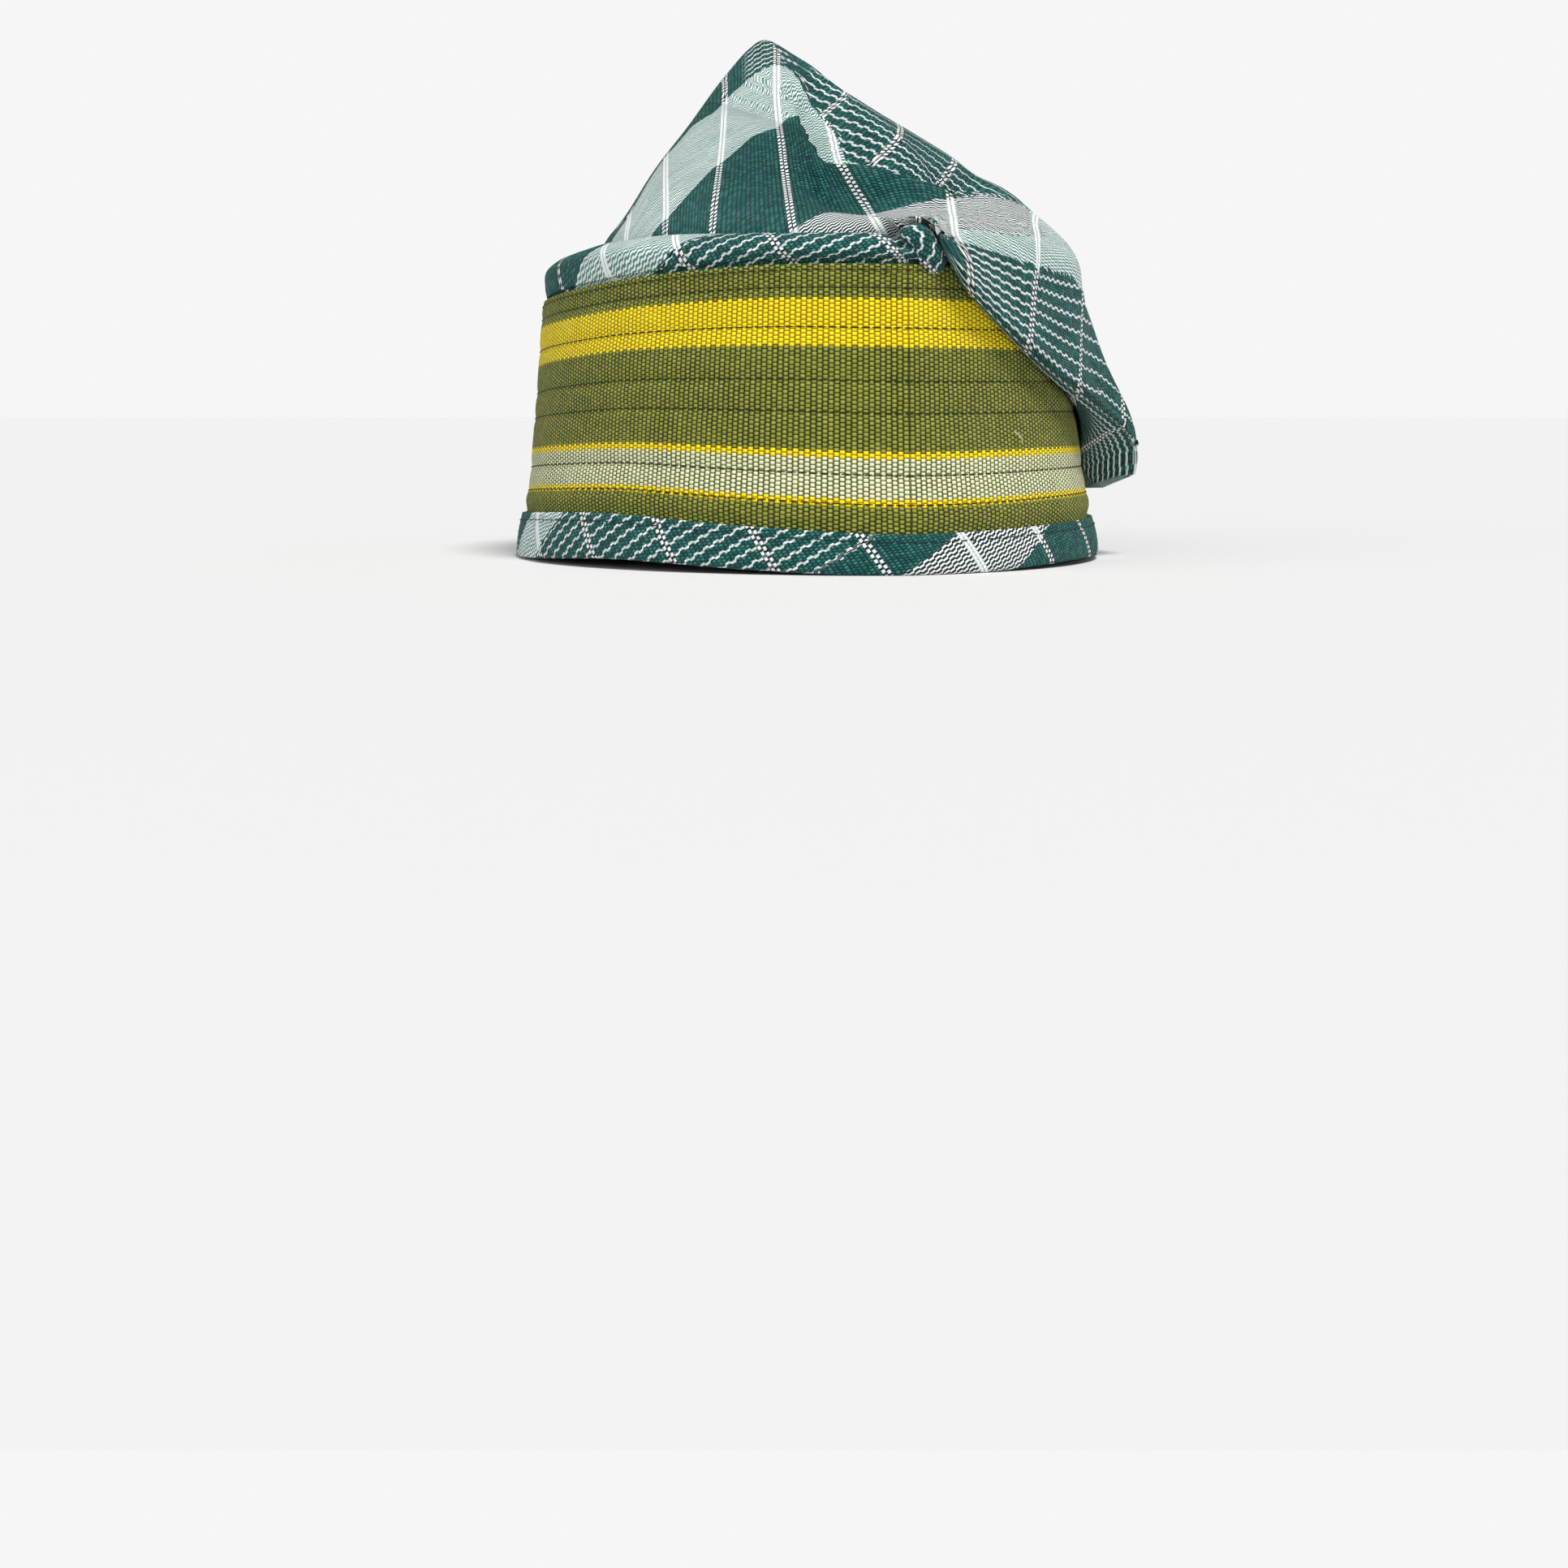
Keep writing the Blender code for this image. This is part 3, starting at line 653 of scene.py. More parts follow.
def spacing_of(surface, values):
    """How many millimetres of cloth lie between whole values, at each point."""
    around = (np.roll(surface, -1, axis=1) - np.roll(surface, 1, axis=1)) / 2
    up = np.gradient(surface, axis=0)
    step_around = (np.roll(values, -1, axis=1) - np.roll(values, 1, axis=1)) / 2
    step_up = np.gradient(values, axis=0)
    aa, bb, ab = (around ** 2).sum(2), (up ** 2).sum(2), (around * up).sum(2)
    area = aa * bb - ab ** 2 + 1e-9
    steep = (step_around ** 2 * bb - 2 * step_around * step_up * ab + step_up ** 2 * aa) / area
    return 1 / np.sqrt(np.maximum(steep, 1e-9))


def wrinkle(surface, amount, size, seed):
    """Moves points along their normals by a soft noise of a size in millimetres."""
    normal = normals(surface)
    normal /= np.linalg.norm(normal, axis=2, keepdims=True) + 1e-9
    rise = np.array([[noise.noise(Vector(point) / size + Vector((seed, 0, 0))) for point in ring]
                     for ring in surface])
    return surface + normal * (rise * amount)[..., None]


# The middle of the head opening lies beside the middle of the CAD model's box; the band's solid reaches
# furthest to the right at this height
WIDEST_HEIGHT = 2.1
middle_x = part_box("band")[0][0] / MM + half_sizes(WIDEST_HEIGHT, False)[0]


def in_frame(points):
    """Points in the CAD frame, in metres."""
    return (points + np.array([middle_x, 0, 0])) * MM


def add_object(name, data):
    made = bpy.data.objects.new(name, data)
    bpy.context.scene.collection.objects.link(made)
    return made


def cloth(name, surface, uv_maps, wall, tip=None, tip_uv=None):
    """Mesh of a closed strip or bag of cloth. Each of uv_maps gives a corner's place from its ring and
    column, its face, and whether it is on the face's far side. tip_uv, where it is given, holds the second
    number at the tip."""
    mesh = bpy.data.meshes.new(name)
    work = bmesh.new()
    layers = {key: work.loops.layers.uv.new(key) for key in uv_maps}
    verts = [[work.verts.new(point) for point in ring] for ring in in_frame(surface)]
    rings, columns = surface.shape[:2]
    for i in range(rings - 1):
        for j in range(columns):
            k = (j + 1) % columns
            corners = ((i, j, 0), (i, k, 1), (i + 1, k, 1), (i + 1, j, 0))
            face = work.faces.new([verts[a][b] for a, b, _ in corners])
            face.smooth = True
            for key, layer in layers.items():
                for loop, (a, b, last) in zip(face.loops, corners):
                    loop[layer].uv = uv_maps[key](a, b, (i, j), last)
    if tip is not None:
        top = work.verts.new(in_frame(np.array(tip)))
        for j in range(columns):
            k = (j + 1) % columns
            face = work.faces.new((verts[-1][j], verts[-1][k], top))
            face.smooth = True
            for key, layer in layers.items():
                a = uv_maps[key](rings - 1, j, (rings - 1, j), 0)
                b = uv_maps[key](rings - 1, k, (rings - 1, j), 1)
                at_tip = (tip_uv or {}).get(key, (a[1] + b[1]) / 2)
                for loop, uv in zip(face.loops, (a, b, ((a[0] + b[0]) / 2, at_tip))):
                    loop[layer].uv = uv
    work.to_mesh(mesh)
    work.free()
    piece = add_object(name, mesh)
    solidify = piece.modifiers.new("wall", "SOLIDIFY")
    solidify.thickness = wall * MM
    solidify.offset = -1
    return piece


# Shader values are written as plain expressions
def add_node(tree, kind, settings=None, values=None, out=0):
    """A node of a kind, its settings made first, then its sockets filled with values or wires."""
    made = tree.nodes.new(kind)
    for key, value in (settings or {}).items():
        setattr(made, key, value)
    for key, value in (values or {}).items():
        if isinstance(value, Wire):
            tree.links.new(value.socket, made.inputs[key])
        else:
            made.inputs[key].default_value = value
    return Wire(tree, made.outputs[out])


class Wire:
    """A shader value that can be added, multiplied and so on."""

    def __init__(self, tree, socket):
        self.tree, self.socket = tree, socket

    def math(self, operation, *others, clamp=False):
        values = dict(enumerate((self, *others)))
        return add_node(self.tree, "ShaderNodeMath", {"operation": operation, "use_clamp": clamp}, values)

    def __add__(self, other):
        return self.math("ADD", other)

    def __sub__(self, other):
        return self.math("SUBTRACT", other)

    def __rsub__(self, other):
        return add_node(self.tree, "ShaderNodeMath", {"operation": "SUBTRACT"}, {0: other, 1: self})

    def __mul__(self, other):
        return self.math("MULTIPLY", other)

    def __truediv__(self, other):
        return self.math("DIVIDE", other)

    def __gt__(self, other):
        return self.math("GREATER_THAN", other)

    def __lt__(self, other):
        return self.math("LESS_THAN", other)

    __radd__, __rmul__ = __add__, __mul__

    def floor(self):
        return self.math("FLOOR")

    def fraction(self):
        return self.math("FRACT")

    def abs(self):
        return self.math("ABSOLUTE")

    def least(self, other):
        return self.math("MINIMUM", other)

    def clamped(self):
        return self.math("ADD", 0.0, clamp=True)

    def between(self, low, high):
        """0 below low, 1 above high and smooth from one to the other."""
        return add_node(self.tree, "ShaderNodeMapRange", {"interpolation_type": "SMOOTHSTEP"},
                        {"Value": self, "From Min": low, "From Max": high})

    def random(self, other=0.0):
        """A random number from 0 to 1 for each whole value of this and another wire."""
        place = add_node(self.tree, "ShaderNodeCombineXYZ", None, {"X": self, "Y": other})
        return add_node(self.tree, "ShaderNodeTexWhiteNoise", {"noise_dimensions": "3D"}, {"Vector": place})

    def blend(self, dark, light):
        """Colour from dark at 0 to light at 1."""
        settings = {"data_type": "RGBA", "clamp_factor": True}
        return add_node(self.tree, "ShaderNodeMix", settings, {0: self, 6: dark, 7: light}, out=2)


def uv_place(tree, name):
    """The two numbers of a UV map, and the map itself as a vector."""
    place = add_node(tree, "ShaderNodeUVMap", {"uv_map": name})
    parts = tree.nodes.new("ShaderNodeSeparateXYZ")
    tree.links.new(place.socket, parts.inputs[0])
    return Wire(tree, parts.outputs[0]), Wire(tree, parts.outputs[1]), place


def noise_at(tree, vector, scale, detail=2.0, roughness=0.5):
    return add_node(tree, "ShaderNodeTexNoise", {"noise_dimensions": "3D"},
                    {"Vector": vector, "Scale": scale, "Detail": detail, "Roughness": roughness})


def colour(red, green, blue):
    """A linear colour from sRGB values of 0 to 255."""
    def linear(value):
        share = value / 255
        return share / 12.92 if share <= 0.04045 else ((share + 0.055) / 1.055) ** 2.4
    return (linear(red), linear(green), linear(blue), 1.0)


def new_cloth_material(name, roughness):
    material = bpy.data.materials.new(name)
    material.use_nodes = True
    shader = material.node_tree.nodes["Principled BSDF"]
    shader.inputs["Roughness"].default_value = roughness
    shader.inputs["Specular IOR Level"].default_value = 0.25
    shader.inputs["Sheen Weight"].default_value = 0.05
    shader.inputs["Sheen Roughness"].default_value = 0.5
    return material, material.node_tree, shader


def finish(tree, shader, shade, height, strength, distance):
    """Gives a material its colour, and its relief from a height."""
    relief = add_node(tree, "ShaderNodeBump", None,
                      {"Strength": strength, "Distance": distance, "Height": height})
    tree.links.new(shade.socket, shader.inputs["Base Color"])
    tree.links.new(relief.socket, shader.inputs["Normal"])


def threads(tree, along, across, pitch_along, pitch_across):
    """Brick-laid thread floats: height of each, and its two random numbers."""
    row = (across / pitch_across).floor()
    shift = (row * 0.5).fraction()
    place = along / pitch_along + shift
    column = place.floor()

    def rounded(value, power):
        return 1.0 - ((value.fraction() - 0.5) * 2.0).abs().math("POWER", power)

    height = rounded(place, 2.6) * rounded(across / pitch_across, 2.2)
    return height, column.random(row), (column + 37.0).random(row)


def to_and_fro(along, length):
    """0 or 1 by turns along a thread, with a short ramp between."""
    return ((along / length).fraction() - 0.5).abs().between(0.19, 0.31)


def zigzag(along, across, pitch, step, jog, share):
    """Thread lines a pitch apart that jog to and fro every step; share is how much of a pitch they cover."""
    from_line = ((across / pitch + to_and_fro(along, 2 * step) * jog).fraction() - 0.5).abs()
    return 1.0 - from_line.between(share / 2 - 0.09, share / 2 + 0.09)


# Of the teals below, the deepest is painted shade between the thread bumps and the brightest a painted
# highlight on their tops
TEAL_PAINTED_GAP_SHADE = colour(4, 46, 46)
TEAL = colour(16, 96, 92)
TEAL_PAINTED_HIGHLIGHT = colour(84, 164, 150)
TEAL_PALE = colour(76, 132, 124)
GAP_DARK = colour(14, 30, 34)
WHITE = colour(240, 245, 244)
GREY_WHITE = colour(205, 216, 214)
PALE_ROW, DENSE_ROW = 1.12, 1.3     # millimetres from row to row of the pale and of the dense cloth


def plaid_cloth(name):
    """Plaid by zone: striped dark, pale, plain dark, dense white on dark, striped dark, with pairs."""
    material, tree, shader = new_cloth_material(name, 0.88)
    pair, zone, _ = uv_place(tree, "plaid")
    pair_mm, zone_mm, _ = uv_place(tree, "spacing")
    along, across, weave_map = uv_place(tree, "weave")
    rows, _, _ = uv_place(tree, "rows")
    soft = noise_at(tree, weave_map, 0.07)
    patchy = noise_at(tree, weave_map, 0.35, 3.0)
    fibre = noise_at(tree, weave_map, 2.4, 3.0, 0.6)
    # plain dark ground: small bumps in columns, with painted shade low between the bumps and a painted
    # highlight on their tops, on threads of random tone
    bump, tone, tone_b = threads(tree, across + along * 0.12, along, 0.92, 1.32)
    painted_shade_and_tone = bump * (0.62 + 0.45 * tone) + (soft - 0.5) * 0.5 + (patchy - 0.5) * 0.35
    dark = painted_shade_and_tone.between(0.0, 1.0).blend(TEAL_PAINTED_GAP_SHADE, TEAL)
    # painted highlight on the bump tops, stronger on some threads at random
    highlight_by_thread = tone_b.between(0.25, 1.0) * 0.4 + fibre.between(0.5, 0.75) * 0.2
    dark = (bump * highlight_by_thread).blend(dark, TEAL_PAINTED_HIGHLIGHT)
    # pale ground: thin wavy rows of white on green
    wave = zigzag(along + patchy * 1.4, rows + (patchy - 0.5) * 0.6, PALE_ROW, 1.2, 0.34, 0.54)
    row_tone = (rows / PALE_ROW).floor().random((along / 9.0).floor())
    pale = (wave * (0.7 + 0.3 * row_tone) * (0.8 + 0.4 * soft)).blend(TEAL_PALE, WHITE)
    # dense ground: white rows that step to and fro on a nearly black one
    steps = zigzag(along, rows, DENSE_ROW, 1.8, 0.42, 0.5)
    dense = (steps * (0.86 + 0.14 * row_tone)).blend(GAP_DARK, WHITE)
    # striped ground: thin white lines with small steps along them
    line_mm = zone_mm / STRIPES_IN_ZONE
    jog = (line_mm / 3.0).least(1.0) * 0.55
    line = zone * STRIPES_IN_ZONE + 0.5
    from_line = (line.fraction() - 0.5) * line_mm + (to_and_fro(along, 3.4) - 0.5) * jog
    half = (line_mm * 0.16).least(0.34)
    stripe = 1.0 - (from_line.abs() / half).between(0.7, 1.3)
    stripe = stripe * (0.8 + 0.2 * (along / 1.7).floor().random(line.floor()))
    stripe = stripe * line_mm.between(0.8, 1.5)
    is_pale = zone.between(-0.004, 0.004) * (1.0 - zone.between(0.996, 1.004))
    is_dense = zone.between(1.995, 2.005) * (1.0 - zone.between(2.99, 3.01))
    is_striped = zone.between(2.99, 3.01) + (1.0 - zone.between(-0.02, 0.02)) * pair.between(4.3, 4.5)
    ground = is_pale.blend(dark, pale)
    ground = is_dense.blend(ground, dense)
    ground = (is_striped * stripe).blend(ground, WHITE)
    # pairs of white threads: solid on the pale ground, two files of dots on the dark one
    from_pair = ((pair + 0.5).fraction() - 0.5) * pair_mm
    in_pair = (from_pair.abs() - 0.62).abs()
    thread = 1.0 - in_pair.between(0.36, 0.58)
    dot_phase = (across / 1.75 + (from_pair > 0.0) * 0.5).fraction()
    dots = 1.0 - (dot_phase - 0.5).abs().between(0.25, 0.36)
    on_light = (is_pale + is_dense).clamped()
    on_dark = 1.0 - on_light
    beside = 1.0 - from_pair.abs().between(1.15, 1.4)
    border = beside * on_dark * 0.75
    ground = border.blend(ground, GAP_DARK)
    pair_mask = thread * (on_light * (0.9 + 0.1 * ((across / 0.9).fraction() > 0.5)) + on_dark * dots)
    filled = (beside * on_light * 0.85).blend(ground, GREY_WHITE)
    height = bump * on_dark + wave * is_pale * 0.8 + steps * is_dense
    height = height * (1.0 - thread * 0.5) + pair_mask * 1.1 + is_striped * stripe * 0.7 + fibre * 0.3
    finish(tree, shader, pair_mask.blend(filled, WHITE), height, 0.9, 0.00045)
    return material


# The colours named for gaps are painted shade between the floats
OLIVE_PAINTED_GAP_SHADE = colour(34, 46, 6)
OLIVE = colour(130, 136, 38)
OLIVE_LIGHT = colour(170, 172, 74)
YELLOW = colour(252, 232, 10)
YELLOW_PAINTED_GAP_SHADE = colour(170, 122, 4)
PALE_STRIPE = colour(232, 234, 190)
PALE_PAINTED_GAP_SHADE = colour(92, 96, 46)
# Ends of the band's stripes, as shares of its height from the top
STRIPES = (0.127, 0.304, 0.697, 0.72, 0.878, 0.9)
# Sewn lines of the band, as shares of its height from the top
SEWN_LINES = (0.083, 0.232, 0.43, 0.55, 0.782, 0.893)
BAND_CLOTH = 68.5       # height of the band's cloth that shows
FLOAT_PITCH, RIB_PITCH = 1.17, 1.55


def band_cloth(name):
    """Ribbed strip: olive, a yellow stripe, olive, a pale stripe edged in yellow, olive."""
    material, tree, shader = new_cloth_material(name, 0.84)
    along, across, weave_map = uv_place(tree, "weave")
    soft = noise_at(tree, weave_map, 0.05)
    patchy = noise_at(tree, weave_map, 0.3, 3.0)
    fibre = noise_at(tree, weave_map, 2.2, 3.0, 0.6)
    row = (along / RIB_PITCH).floor()
    # each float keeps its colour to its end, so a stripe's edge is toothed
    shift = (row * 0.5).fraction()
    share = ((across / FLOAT_PITCH + shift).floor() + 0.5 - shift) * (-FLOAT_PITCH / BAND_CLOTH)
    bump, tone, tone_b = threads(tree, across, along, FLOAT_PITCH, RIB_PITCH)

    def within(start, end):
        return (share > start) * (share < end)

    yellow = within(STRIPES[0], STRIPES[1])
    edged = within(STRIPES[2], STRIPES[5])
    pale = within(STRIPES[3], STRIPES[4])
    # painted shade low between the floats and painted light on their tops, from the floats' relief, with
    # random tone
    painted_shade_and_tone = (bump * 1.15 + (tone - 0.5) * 0.18 + (soft - 0.5) * 0.3 + (patchy - 0.5) * 0.2).between(0.05, 1.0)
    olive = painted_shade_and_tone.blend(OLIVE_PAINTED_GAP_SHADE, (tone_b * 0.5 + patchy * 0.3).blend(OLIVE, OLIVE_LIGHT))
    gold = painted_shade_and_tone.between(0.0, 0.7).blend(YELLOW_PAINTED_GAP_SHADE, YELLOW)
    cream = painted_shade_and_tone.between(0.05, 0.8).blend(PALE_PAINTED_GAP_SHADE, PALE_STRIPE)
    surface = (yellow + edged).clamped().blend(olive, gold)
    finish(tree, shader, pale.blend(surface, cream), bump + fibre * 0.25, 0.95, 0.0006)
    return material


def thread_material(name, shade):
    material, tree, shader = new_cloth_material(name, 0.7)
    place = add_node(tree, "ShaderNodeTexCoord", None, None, out=3)
    strands = noise_at(tree, place, 2600.0, 2.0)
    tone = strands.between(0.3, 0.7).blend(tuple(0.6 * c for c in shade[:3]) + (1.0,), shade)
    finish(tree, shader, tone, strands, 0.5, 0.0001)
    return material


def make_crown():
    surface = fold_front(crown_surface())
    pairs, zone, way = plaid_of_crown(surface)
    from_front, from_back = rows_of_cloth(surface)
    turn = np.tile(np.array(angles()), (len(surface), 1))
    free = soft_step(surface[..., 2], 92, 104) + soft_step(turn, 180, 200) * soft_step(surface[..., 0], 6, 20)
    surface = wrinkle(surface, 1.3 * np.clip(free, 0, 1) * (turn > 180), 26.0, 3.0)
    pair_mm = [np.clip(spacing_of(surface, values), 12, 60) for values in pairs]
    zone_mm = [np.clip(spacing_of(surface, values), 4, 60) for values in zone]
    quarter = COLUMNS // 4

    def plaid_uv(i, j, face, last):
        return pairs[way[face]][i, j], zone[way[face]][i, j]

    def spacing_uv(i, j, face, last):
        return pair_mm[way[face]][i, j], zone_mm[way[face]][i, j]

    def weave_uv(i, j, face, last):
        at_front = face[1] < quarter or face[1] >= 3 * quarter
        across = pairs[way[face]][i, j]
        across = across * PAIR_SPACING + max(across - LAST_NARROW_PAIR, 0) * WIDER_ON_FLAP
        return across, from_front[i, j] if at_front else from_back[i, j]

    def rows_uv(i, j, face, last):
        return weave_uv(i, j, face, last)[1], 0.0

    maps = {"plaid": plaid_uv, "spacing": spacing_uv, "weave": weave_uv, "rows": rows_uv}
    return cloth("crown_cloth", surface, maps, CROWN_WALL, TIP, {"plaid": EDGE_ZONES[0]})


def swell_of_band(angle, share):
    """How far the band's cloth swells out between its seams, without a step where it closes."""
    turn = radians(angle)
    return 0.75 * noise.noise(Vector((2.6 * cos(turn), 2.6 * sin(turn), 2.2 * share)))


# A shallow upright dent beside the front crease, in millimetres and degrees
DENT_DEPTH, DENT_ANGLE, DENT_WIDTH = 1.0, -3.2, 1.7
# The band's cloth stands out above the bound hem: how far, and where, as shares of the height from the top
FOOT_SWELL, FOOT_PLACE, FOOT_REACH = 0.7, 0.93, 0.06
LINE_DEPTH, LINE_REACH = 0.35, 1.6      # how the sewn lines draw the cloth in, in millimetres


def swell_and_dent(angle, share):
    foot = FOOT_SWELL * np.exp(-((share - FOOT_PLACE) / FOOT_REACH) ** 2)
    return foot - DENT_DEPTH * np.exp(-((turned(angle) - DENT_ANGLE) / DENT_WIDTH) ** 2)


def make_band():
    rows = 96
    surface, share = [], []
    for i in range(rows + 1):
        at = -0.004 + 1.12 * i / rows
        ring = []
        for angle in angles():
            top, bottom = level(angle, "band_top"), level(angle, "band_bottom")
            height = top - at * (top - bottom)
            from_line = min(abs(at - line) for line in SEWN_LINES) * (top - bottom)
            puff = swell_and_dent(angle, at) - LINE_DEPTH * np.exp(-(from_line / LINE_REACH) ** 2)
            ends = soft_step(at, 0.0, 0.05) * (1 - soft_step(at, 0.95, 1.0))
            ring.append(on_band(angle, (puff + swell_of_band(angle, at)) * ends, height))
        surface.append(ring)
        share.append(at)
    surface = np.array(surface)[::-1].copy()
    share = share[::-1]
    forward, steps = ring_lengths(surface)
    level_ring = forward[rows // 2]
    around = level_ring[-1] + steps[rows // 2][-1]

    def weave_uv(i, j, face, last):
        return around if last and j == 0 else level_ring[j], -share[i] * BAND_CLOTH

    return cloth("band_cloth", surface, {"weave": weave_uv}, BAND_WALL)


# Bindings, cut on the bias: how far the white pairs lean, and how far apart they lie
BIAS = radians(34)
BIAS_SPACING = 24.7


def ring_at(offset, column, rise=0.0):
    """Ring of points at an offset from the band's outer face, above or below a level."""
    return np.array([on_band(a, offset, level(a, column) + rise) for a in angles()])


def bias_maps(surface, zones, pair_at, mark_row):
    """UV maps of a strip on the bias. zones lists places round the cap, along the row mark_row, with the
    plaid's zone there; a pair of white threads crosses that row at pair_at."""
    middle = len(surface) // 2
    forward, steps = ring_lengths(surface)
    round_the_cap = forward[middle]
    whole = round_the_cap[-1] + steps[middle][-1]
    up = np.concatenate([[0], np.cumsum(np.linalg.norm(np.diff(surface, axis=0), axis=2).mean(axis=1))])
    places, values = [zone[0] for zone in zones], [zone[1] for zone in zones]

    def place(i, j, face, last):
        s = whole if last and j == 0 else round_the_cap[j]
        if face[1] >= COLUMNS // 2:
            s -= whole
        return s, up[i] - up[mark_row]

    def zone_at(s, t):
        return float(np.interp(s - t / tan(BIAS), places, values))

    def plaid_uv(i, j, face, last):
        s, t = place(i, j, face, last)
        return ((s - pair_at) * cos(BIAS) + t * sin(BIAS)) / BIAS_SPACING + 40, zone_at(s, t)

    def spacing_uv(i, j, face, last):
        s, t = place(i, j, face, last)
        step = abs(zone_at(s + 0.2, t) - zone_at(s - 0.2, t))
        return BIAS_SPACING, limit(0.4 * sin(BIAS) / max(step, 1e-6), 10, 60)

    def weave_uv(i, j, face, last):
        s, t = place(i, j, face, last)
        return s * cos(BIAS) + t * sin(BIAS), -s * sin(BIAS) + t * cos(BIAS)

    def rows_uv(i, j, face, last):
        return weave_uv(i, j, face, last)[1], 0.0

    return {"plaid": plaid_uv, "spacing": spacing_uv, "weave": weave_uv, "rows": rows_uv}


# The plaid along the two bias strips: place round the cap in millimetres, and zone number
RIM_ZONES = [(-290, 3.0), (-230, 4.4), (-229.9, 1.02), (-190, 1.98), (-189.9, 0.02), (-160, 0.98),
             (-159.9, 1.02), (-100.1, 1.98), (-100, 0.02), (-60.1, 0.98), (-60, 3.0), (95, 6.63),
             (95.1, 0.02), (130, 0.98), (130.1, 1.02), (185, 1.98), (185.1, 2.02), (225, 2.98),
             (225.1, 3.0), (290, 4.5)]
HEM_ZONES = [(-310, 2.02), (-270, 2.98), (-269.9, 1.02), (-230, 1.98), (-229.9, 3.0), (-160, 4.65),
             (-159.9, 1.02), (-140.1, 1.98), (-140, 0.02), (-113.1, 0.98), (-113, 3.0), (-9, 5.45),
             (-8.9, 1.02), (14, 1.98), (14.1, 2.02), (53, 2.98), (53.1, 1.02), (112, 1.98), (112.1, 0.02),
             (135, 0.98), (135.1, 1.02), (160, 1.98), (160.1, 3.0), (250, 5.1), (250.1, 0.02), (310, 0.98)]
ROLL_ZONES = [(-100, 3.0), (100, 7.68)]
RIM_PAIR, HEM_PAIR = -36.8, -44.7


def make_rim():
    outer, inner = RIM_MIDDLE + RIM_RADIUS, RIM_MIDDLE - RIM_RADIUS
    rows = [
        ring_at(RIM_BEHIND, "band_top", -13.0),
        ring_at(RIM_BEHIND, "band_top", 0.3),
        ring_at(-0.7, "band_top", 1.9),
        ring_at(outer, "rim_top", -4.6),
        ring_at(-1.6, "rim_top", -1.6),
        ring_at(RIM_MIDDLE, "rim_top", 0.0),
        ring_at(-10.3, "rim_top", -1.9),
        ring_at(inner, "rim_top", -6.3),
        ring_at(inner, "rim_top", -14.0),
    ]
    surface = np.array([between(rows, i / 5) for i in range((len(rows) - 1) * 5 + 1)])
    surface = wrinkle(surface, np.where(np.arange(len(surface)) > 12, 0.5, 0.0)[:, None], 14.0, 9.0)
    # a small hollow where the roll meets the front crease
    hollow = np.exp(-((turned(np.array(angles())) + 1.0) / 1.6) ** 2)[None, :, None]
    high = soft_step(surface[..., 2], 84.0, 88.5)[..., None]
    surface = surface + hollow * high * np.array([0.0, 1.2, -1.8])
    return cloth("rim_cloth", surface, bias_maps(surface, RIM_ZONES, RIM_PAIR, 20), BINDING_WALL)


# The twisted end of the rim's roll, which shows at the front under the flap: places on the band and radius
ROLL_END = [(-1.0, -2.8, 88.8, 1.6), (0.8, -1.9, 89.2, 3.0), (2.9, -1.0, 88.3, 3.9), (4.6, -0.9, 85.6, 4.1),
            (5.9, -1.4, 82.6, 3.6), (6.9, -2.2, 79.6, 2.6)]


def make_roll_end():
    """The roll's end as a closed tube of cloth with a slack fold along it."""
    points = np.array([on_band(*place[:3]) for place in ROLL_END])
    radii = np.array([[place[3], 0, 0] for place in ROLL_END])
    count = 36
    path, radius = (np.array([between(rows, i * (len(rows) - 1) / count) for i in range(count + 1)])
                    for rows in (points, radii))
    ahead = np.gradient(path, axis=0)
    ahead /= np.linalg.norm(ahead, axis=1, keepdims=True)
    front = np.array([0.0, -1.0, 0.0])
    outward = front - ahead * (ahead @ front)[:, None]
    outward /= np.linalg.norm(outward, axis=1, keepdims=True)
    across = np.cross(ahead, outward)
    rings = []
    for i in range(count + 1):
        t = i / count
        closing = (1 - (1 - limit(t / 0.12)) ** 2) ** 0.5 * (1 - (1 - limit((1 - t) / 0.1)) ** 2) ** 0.5
        ring = []
        for a in np.radians(angles()):
            fold = 1 - 0.2 * np.exp(-((cos(a - 0.9 - 1.3 * t) - 1) / 0.12) ** 2)
            size = max(radius[i][0] * closing, 0.05) * fold
            ring.append(path[i] + outward[i] * cos(a) * size + across[i] * sin(a) * size)
        rings.append(ring)
    surface = np.array(rings)
    maps = bias_maps(surface, ROLL_ZONES, 9.0, 10)
    return cloth("rim_roll_end", surface, maps, 0.6, path[-1] + ahead[-1] * 0.05)


def make_hem():
    outer = GAP + BINDING_WALL
    inner = -(BAND_WALL + GAP + BINDING_WALL)
    rows = [
        ring_at(inner, "hem_bottom", 11.0),
        ring_at(inner, "hem_bottom", 1.2),
        ring_at(inner + 1.0, "hem_bottom", 0.0),
        ring_at(outer - 1.0, "hem_bottom", 0.0),
        ring_at(outer + 0.4, "hem_bottom", 1.2),
        mix(ring_at(outer + 0.5, "hem_bottom", 1.2), ring_at(outer + 0.4, "band_bottom", 0.0), 0.5),
        ring_at(1.45, "band_bottom", 0.0),
    ]
    surface = np.array([between(rows, i / 6) for i in range((len(rows) - 1) * 6 + 1)])
    surface[..., 2] = np.maximum(surface[..., 2], 0.0)
    maps = bias_maps(surface, HEM_ZONES, HEM_PAIR, len(surface) - 1)
    return cloth("hem_cloth", surface, maps, BINDING_WALL)


